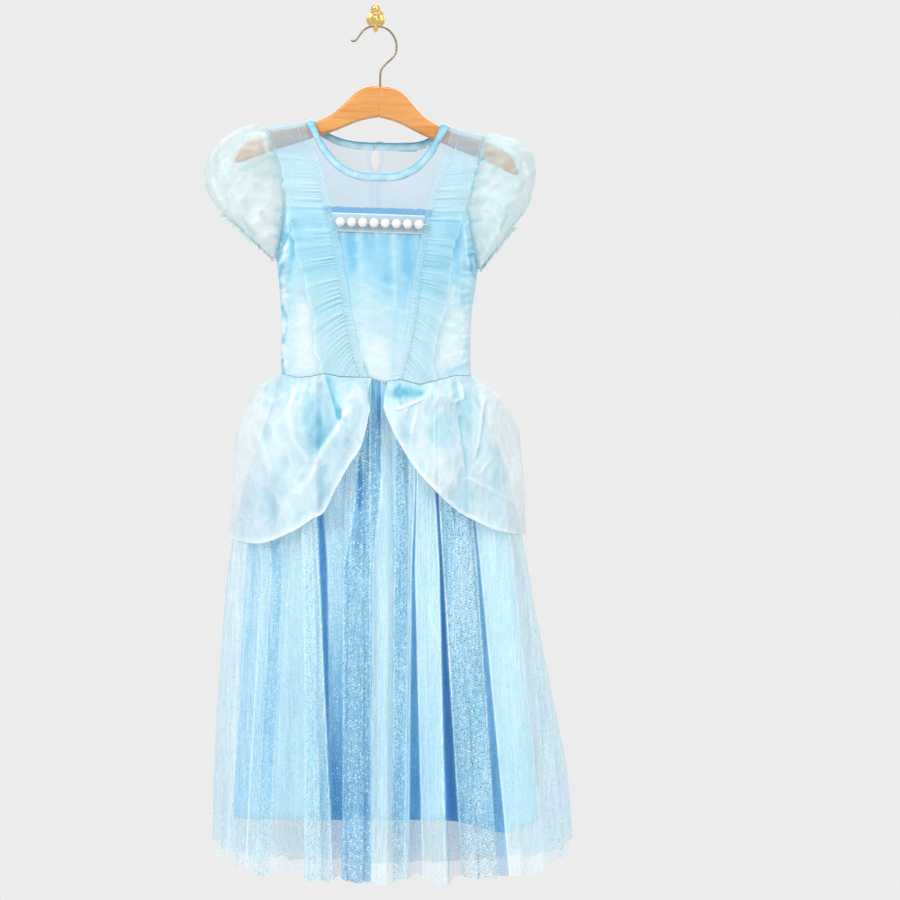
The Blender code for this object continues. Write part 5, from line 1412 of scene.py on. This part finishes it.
# The net's colour runs from deep blue in painted shade to pale in painted light.
cloth_tone = tone_ramp(tree, tone, (0.0, (0.045, 0.260, 0.540)), (0.5, (0.270, 0.540, 0.690)),
                       (1.0, (0.650, 0.820, 0.880)))
turned = add_node(tree, "Mapping", Vector=surface_place(tree, (1.0, 1.0, 1.0), "UV"),
                  Scale=(330.0, 330.0, 1.0), Rotation=(0.0, 0.0, 0.5))
dots = add_node(tree, "TexVoronoi", {"voronoi_dimensions": "2D"}, Scale=1.0, Randomness=0.75,
                Vector=turned.outputs["Vector"])
chance = add_node(tree, "SeparateColor", Color=dots.outputs["Color"])
size = calculate(tree, "MULTIPLY_ADD", chance.outputs["Blue"], 0.15, 0.12)
size = calculate(tree, "MULTIPLY", size, point_value(tree, "glitter"))
dot = calculate(tree, "LESS_THAN", dots.outputs["Distance"], size)
foil = tone_ramp(tree, chance.outputs["Green"], (0.0, (0.05, 0.13, 0.20)),
                 (0.56, (0.18, 0.31, 0.39)), (0.64, (0.60, 0.68, 0.72)), (1.0, (0.78, 0.82, 0.84)))
mix = add_node(tree, "MixRGB", Fac=dot, Color1=cloth_tone, Color2=foil)
tree.links.new(mix.outputs["Color"], shader.inputs["Base Color"])
body = calculate(tree, "MULTIPLY_ADD", streak, 0.45, point_value(tree, "cover"))
body = calculate(tree, "MAXIMUM", body, calculate(tree, "MULTIPLY", dot, 0.8))
tree.links.new(body, shader.inputs["Alpha"])
tree.links.new(calculate(tree, "MULTIPLY_ADD", dot, -0.4, 0.7), shader.inputs["Roughness"])
put_bump(tree, shader, noise(tree, (420.0, 420.0, 1.0), "UV", Detail=2.0), 0.2, 0.0006)


def half_turns(start, count):
    """Angles from one side seam to the other, a hair's gap short of both."""
    return np.linspace(start + 0.002, start + math.pi - 0.002, count)[None, :]


for half, start in (("front", 0.0), ("back", -math.pi)):
    count, rows = (420, 50) if half == "front" else (130, 36)
    angles = half_turns(start, count)
    down = np.linspace(0, 1, rows)[:, None] ** 1.15
    z = SKIRT_TOP + (lining_hem(angles) - SKIRT_TOP) * down
    x = ring_point(LINING, z, angles)[0]
    lift, _ = fold_form(x, z, angles)
    share = 0.3 if half == "front" else 0.0
    x, y = ring_point(LINING, z, angles, lift * share)
    # The lining's painted light: from the net's bands at the front, even at the back, with painted
    # shade under the drapes near the waist.
    light = band_values(x, z)[3] if half == "front" else 0.6 + 0 * x
    light = light + unit((z + 470.0) / 60.0) * -0.2
    points = np.stack([x, y, z + (seam_drop(x, z) if half == "front" else 0.0)], axis=-1)
    soft = ripples(points, 90.0, 71, (0.5, 1.0, 3.0)) * 1.6
    soft = soft + ripples(points, 30.0, 72, (0.8, 1.0, 2.5)) * 0.5
    soft = soft * down ** 0.5 * np.minimum(np.abs(np.sin(angles)) * 4, 1.0)
    points = points + sheet_normals(points) * (np.clip(soft, -3.0, 2.0) - 0.4)[..., None]
    lining = grid_piece("skirt_lining_" + half + "_satin", points, light=light)
    thicken(lining, SATIN_WALL)
    fit_piece(lining, "satin", lining_satin, "skirt_lining_" + half)

for half, start in (("front", 0.0), ("back", -math.pi)):
    count, rows = (860, 98) if half == "front" else (260, 64)
    angles = half_turns(start, count)
    down = np.linspace(0, 1, rows)[:, None] ** 1.1
    z = SKIRT_TOP + (net_hem(angles) - SKIRT_TOP) * down
    x = ring_point(NET_SKIRT, z, angles)[0]
    lift, slide = fold_form(x, z, angles)
    at_waist = bell((SKIRT_TOP - z) / 70.0)
    gathers = np.sin(WAIST_GATHERS * angles + row_ripples(x, 60.0, 73) * 2.0)
    gather = at_waist * np.minimum((SKIRT_TOP - z) / 6.0, 1.0) * 1.2 * gathers
    flat = np.stack([x, 0 * x, z], axis=-1)
    small = ripples(flat, 16.0, 74, (1.0, 1.0, 14.0)) * 1.1
    small = small + ripples(flat, 7.0, 75, (1.0, 1.0, 18.0)) * 0.5
    shade = 0.05 * small - 0.12 * at_waist * (0.5 + 0.5 * gathers)
    small = small * np.clip((SKIRT_TOP - z) / 60.0, 0.1, 1.0)
    small = small * np.minimum(np.abs(np.sin(angles)) * 4, 1.0)
    if half == "back":
        small = np.minimum(small, 1.5)
    x, y = ring_point(NET_SKIRT, z, angles, lift + np.maximum(gather + small, -1.5))
    if half == "front":
        light, cover, glitter, _ = band_values(x + slide, z)
    else:
        # At the back the painted light is lighter on the folds' crests.
        light, cover, glitter = 0.72 + 0.05 * lift, 0.5 + 0.03 * lift, 0.8 + 0 * x
    light = light + shade
    glitter = glitter * unit((-445.0 - z) / 40.0)
    hem_wave = row_ripples(x, 14.0, 76) * 2.2 + 9.0 * (1 - unit(lift / 14.0))
    cover = cover - 0.1 * down ** 20
    drop = seam_drop(x, z) if half == "front" else 0.0
    points = np.stack([x + slide, y, z + hem_wave * down ** 8 + drop], axis=-1)
    net = grid_piece("skirt_glitter_net_" + half, points, light=light, cover=cover, glitter=glitter)
    fit_piece(net, "skirt_net", glitter_net, "skirt_net_" + half)

# ---------------------------------------------------------------- Overskirt
# Two puffed drapes of crisp organza, gathered hard into the waist seam, swept apart from the
# front's middle and rounded at their lower edges, which are finished with a rolled hem.
DRAPE = (
    Section(-432, -115.3, 116.3, -5, -53.4), Section(-447, -143, 140, -3, -73),
    Section(-468, -159, 160, -3, -85), Section(-498, -168.5, 174, -3, -95),
    Section(-535, -172.5, 178.5, -3, -100), Section(-572, -174.6, 180.6, -3, -105),
    Section(-600, -175.5, 181.5, -3, -107), Section(-634, -179.5, 183, -3, -108),
)
DrapeEdge = namedtuple("DrapeEdge", "turn left right")
DRAPE_EDGES = (
    DrapeEdge(-88.5, -470, -470), DrapeEdge(-84, -530, -530), DrapeEdge(-74, -584, -580),
    DrapeEdge(-55, -616, -608), DrapeEdge(-25, -626, -620), DrapeEdge(0, -622, -620),
    DrapeEdge(14, -627, -621), DrapeEdge(32, -631, -619), DrapeEdge(45, -631, -613),
    DrapeEdge(55, -623, -602), DrapeEdge(62, -614, -590), DrapeEdge(68, -602, -577),
    DrapeEdge(73, -593, -563), DrapeEdge(77, -567, -549), DrapeEdge(82, -537, -524),
    DrapeEdge(86, -511, -497), DrapeEdge(88.5, -470, -468),
)
# The drapes' larger folds, seen from the front, with their painted highlights and shade.
LEFT_DRAPE_FOLDS = (
    Mark(((-59.5, -438), (-52, -460), (-45, -482)), 9, 1.6, -3.5, -0.85, 0.15),
    Mark(((-54, -441), (-44, -466), (-38, -478)), 3, 8, 2, 0.15, 0),
    Mark(((-34, -472), (-53.4, -506), (-67.3, -526)), 5.5, 3.5, 2.4, 0.26, 0.20),
    Mark(((-70, -532), (-90, -571)), 5, 4, 1.8, 0.14, 0.10),
    Mark(((-44, -480), (-62, -508), (-76, -526)), 2, 9, -1.5, -0.30, 0.05),
    Mark(((-78, -470), (-72, -505)), 19, 13, 2.5, -0.38, 0.05),
    Mark(((-66, -490), (-70, -512)), 9, 9, 0, -0.15, 0),
    Mark(((-92, -440), (-104, -470), (-100, -505), (-83, -532)), 2, 4, 1.5, 0.18, 0.12),
    Mark(((-120, -443), (-138, -465)), 4, 3, -2, -0.40, 0.10),
    Mark(((-141, -500), (-129, -518), (-124.5, -538)), 12, 1.8, -2, -0.22, 0.05),
    Mark(((-122, -560), (-128, -596)), 12, 8, -1, -0.16, 0),
    Mark(((-107, -538), (-112, -560)), 2, 6, -1, -0.18, 0.05),
    Mark(((-63, -542), (-62, -576)), 6, 5, -1, -0.30, -0.16),
    Mark(((-30, -500), (-46, -545), (-68, -590)), 7, 7, 0, -0.08, -0.15),
    Mark(((-108, -610), (-88, -598)), 6, 6, 0, -0.15, 0),
    Mark(((-150, -560), (-146, -600)), 10, 10, 1, -0.10, 0),
    Mark(((-20, -446), (-12, -474), (-17, -505)), 6, 3, 1.5, 0.10, 0.05),
)
RIGHT_DRAPE_FOLDS = (
    Mark(((24, -450), (54, -446)), 10, 8, -3.5, -0.80, 0.10),
    Mark(((66.6, -441), (56, -456), (40, -466), (27, -471)), 1.8, 4, 2.4, 0.24, 0.16),
    Mark(((70.4, -476), (70.6, -511)), 1.6, 5, -1.5, -0.30, 0.05),
    Mark(((84, -485), (82, -508)), 13, 11, -1, -0.30, 0),
    Mark(((105, -482), (107, -510), (111, -541)), 4, 1.8, -2, -0.36, 0.08),
    Mark(((113, -452), (110, -468)), 10, 9, -1.5, -0.32, 0.05),
    Mark(((104, -444), (108, -458), (97, -463)), 2, 3, 2, 0.20, 0.12),
    Mark(((135, -463), (132, -498), (125, -529)), 3, 3.5, -1.5, -0.28, 0.05),
    Mark(((130, -463), (127, -498), (121, -529)), 1.6, 1.6, 1.5, 0.20, 0.12),
    Mark(((112.5, -558), (113, -597)), 1.6, 13, -1.5, -0.26, 0),
    Mark(((148, -526), (150, -572)), 9, 8, -1, -0.26, 0),
    Mark(((113.7, -554), (142, -567), (170, -584)), 2, 3, 1.5, 0.16, 0.12),
    Mark(((140, -532), (126, -549)), 1.6, 3, 1, 0.20, 0.10),
    Mark(((36, -484), (40, -505)), 6, 6, -1, -0.22, 0),
    Mark(((50, -470), (44, -500)), 2, 2, 1, 0.20, 0.10),
    Mark(((60, -520), (90, -560)), 14, 14, 2, 0.12, 0.08),
)
# Where the waist's gathers pinch the drapes, measured from the front's middle.
GATHERS_X = {"left": (-136, -112, -96, -84, -30, -12), "right": (30, 74, 90, 103, 124, 140)}
DRAPE_PULL = 8.0                # how far the right drape's front edge is pulled aside at the waist
drape_organza = organza_material(
    "crisp drape organza", ((0.12, 0.43, 0.56), (0.42, 0.67, 0.75), (0.69, 0.76, 0.78)), 46.0)

for hand, way in (("left", -1), ("right", 1)):
    columns, rows = 320, 116
    turns = np.interp(np.linspace(0, len(DRAPE_EDGES) - 1, columns), range(len(DRAPE_EDGES)),
                      [row.turn for row in DRAPE_EDGES])
    down = (np.linspace(0, 1, rows) ** 1.25)[:, None]
    edge = read(DRAPE_EDGES, hand, turns)
    z = SKIRT_TOP + (edge - SKIRT_TOP) * down
    front = (turns > 0)[None, :]
    seed = 81 if way < 0 else 87
    angle = turn_angle(hand, 1, np.radians(turns))[None, :]
    base = np.stack(np.broadcast_arrays(*ring_point(DRAPE, z, angle), z), axis=-1)
    marks = list(LEFT_DRAPE_FOLDS if way < 0 else RIGHT_DRAPE_FOLDS)
    chance = np.random.default_rng(seed)
    for gather_x in GATHERS_X[hand]:
        lean = chance.uniform(-6.0, 6.0)
        reach = chance.uniform(10.0, 30.0)
        start_x, end_x = gather_x * 0.93, gather_x + lean
        # Each gather gets painted shade in its pinch and a painted highlight beside it.
        marks.append(Mark(((start_x, -432.0), (end_x, -438.0 - reach)),
                          2.4, 1.6, -2.5, -0.36, 0.12))
        marks.append(Mark(((start_x + 4.0, -436.0), (end_x + 5.0, -446.0 - reach)),
                          3.0, 3.0, 1.5, 0.12, 0.05))
    lift, tone, cover = fold_marks(base[..., 0], base[..., 2], marks)
    wide = ripples(base, 58.0, seed + 1, (1.0, 1.0, 1.6))
    crisp = bell(wide / 0.09)
    fine = 0.4 - np.abs(ripples(base, 24.0, seed + 2, (0.8, 1.0, 1.8)))
    weave = ripples(base, 5.0, seed + 3, (1.0, 1.0, 1.3))
    folds = wide * 2.2 + crisp * 0.2 + fine * 0.7 + weave * 0.12 + lift
    free = np.minimum(down * 6, 1.0)
    out = np.clip(folds, -6.0, 4.5) * free - 2.2 * np.minimum(down * 8, 1.0)
    out = np.where(front, out, np.minimum(out * 0.35, 0.6) - 0.6 * np.minimum(down * 8, 1.0))
    rim = np.exp(-((1 - down) * (SKIRT_TOP - edge) / 5.0) ** 1.5)
    away = unit((np.abs(base[..., 0] - 2.0) - 105.0) / 55.0)
    # Painted light and shade: from the folds' marks, lighter on the ridges and towards the sides,
    # and a painted highlight along the rolled hem, where the cloth also covers more closely.
    light = 0.80 + 0.16 * away + 0.07 * wide + 0.03 * crisp + 0.08 * fine + 0.03 * weave + tone
    light = np.where(front, light, 0.85 + 0.06 * wide) + 0.30 * rim
    cover = 0.62 - 0.22 * away + 0.05 * wide + 0.05 * crisp + 0.05 * fine + cover + 0.30 * rim
    x, y = ring_point(DRAPE, z, angle, out)
    if way > 0:
        near_front = unit(turns / DRAPE_EDGES[-1].turn) ** 20
        x = x + DRAPE_PULL * bell((SKIRT_TOP - z) / 30.0) * near_front
    points = np.stack([x, y, z + np.where(front, seam_drop(x, z), 0.0)], axis=-1)
    if way > 0:
        points, light, cover = points[:, ::-1], light[:, ::-1], cover[:, ::-1]
    drape = grid_piece("organza_drape_" + hand, points, light=light, cover=cover)
    fit_piece(drape, "organza", drape_organza, "drape_" + hand)
    # The rolled hem covers closely and is painted at full light, a painted highlight.
    rolled = points[-1] + np.array((0.0, -0.4, 0.5))
    hem = tube_piece("drape_hem_" + hand, rolled, np.full(columns, 0.75), 6, (0.0, 1.0, 0.0),
                     light=1.0, cover=0.8)
    fit_piece(hem, "organza", drape_organza)

# ---------------------------------------------------------------- Finish
# The view layer is brought up to date.
bpy.context.view_layer.update()
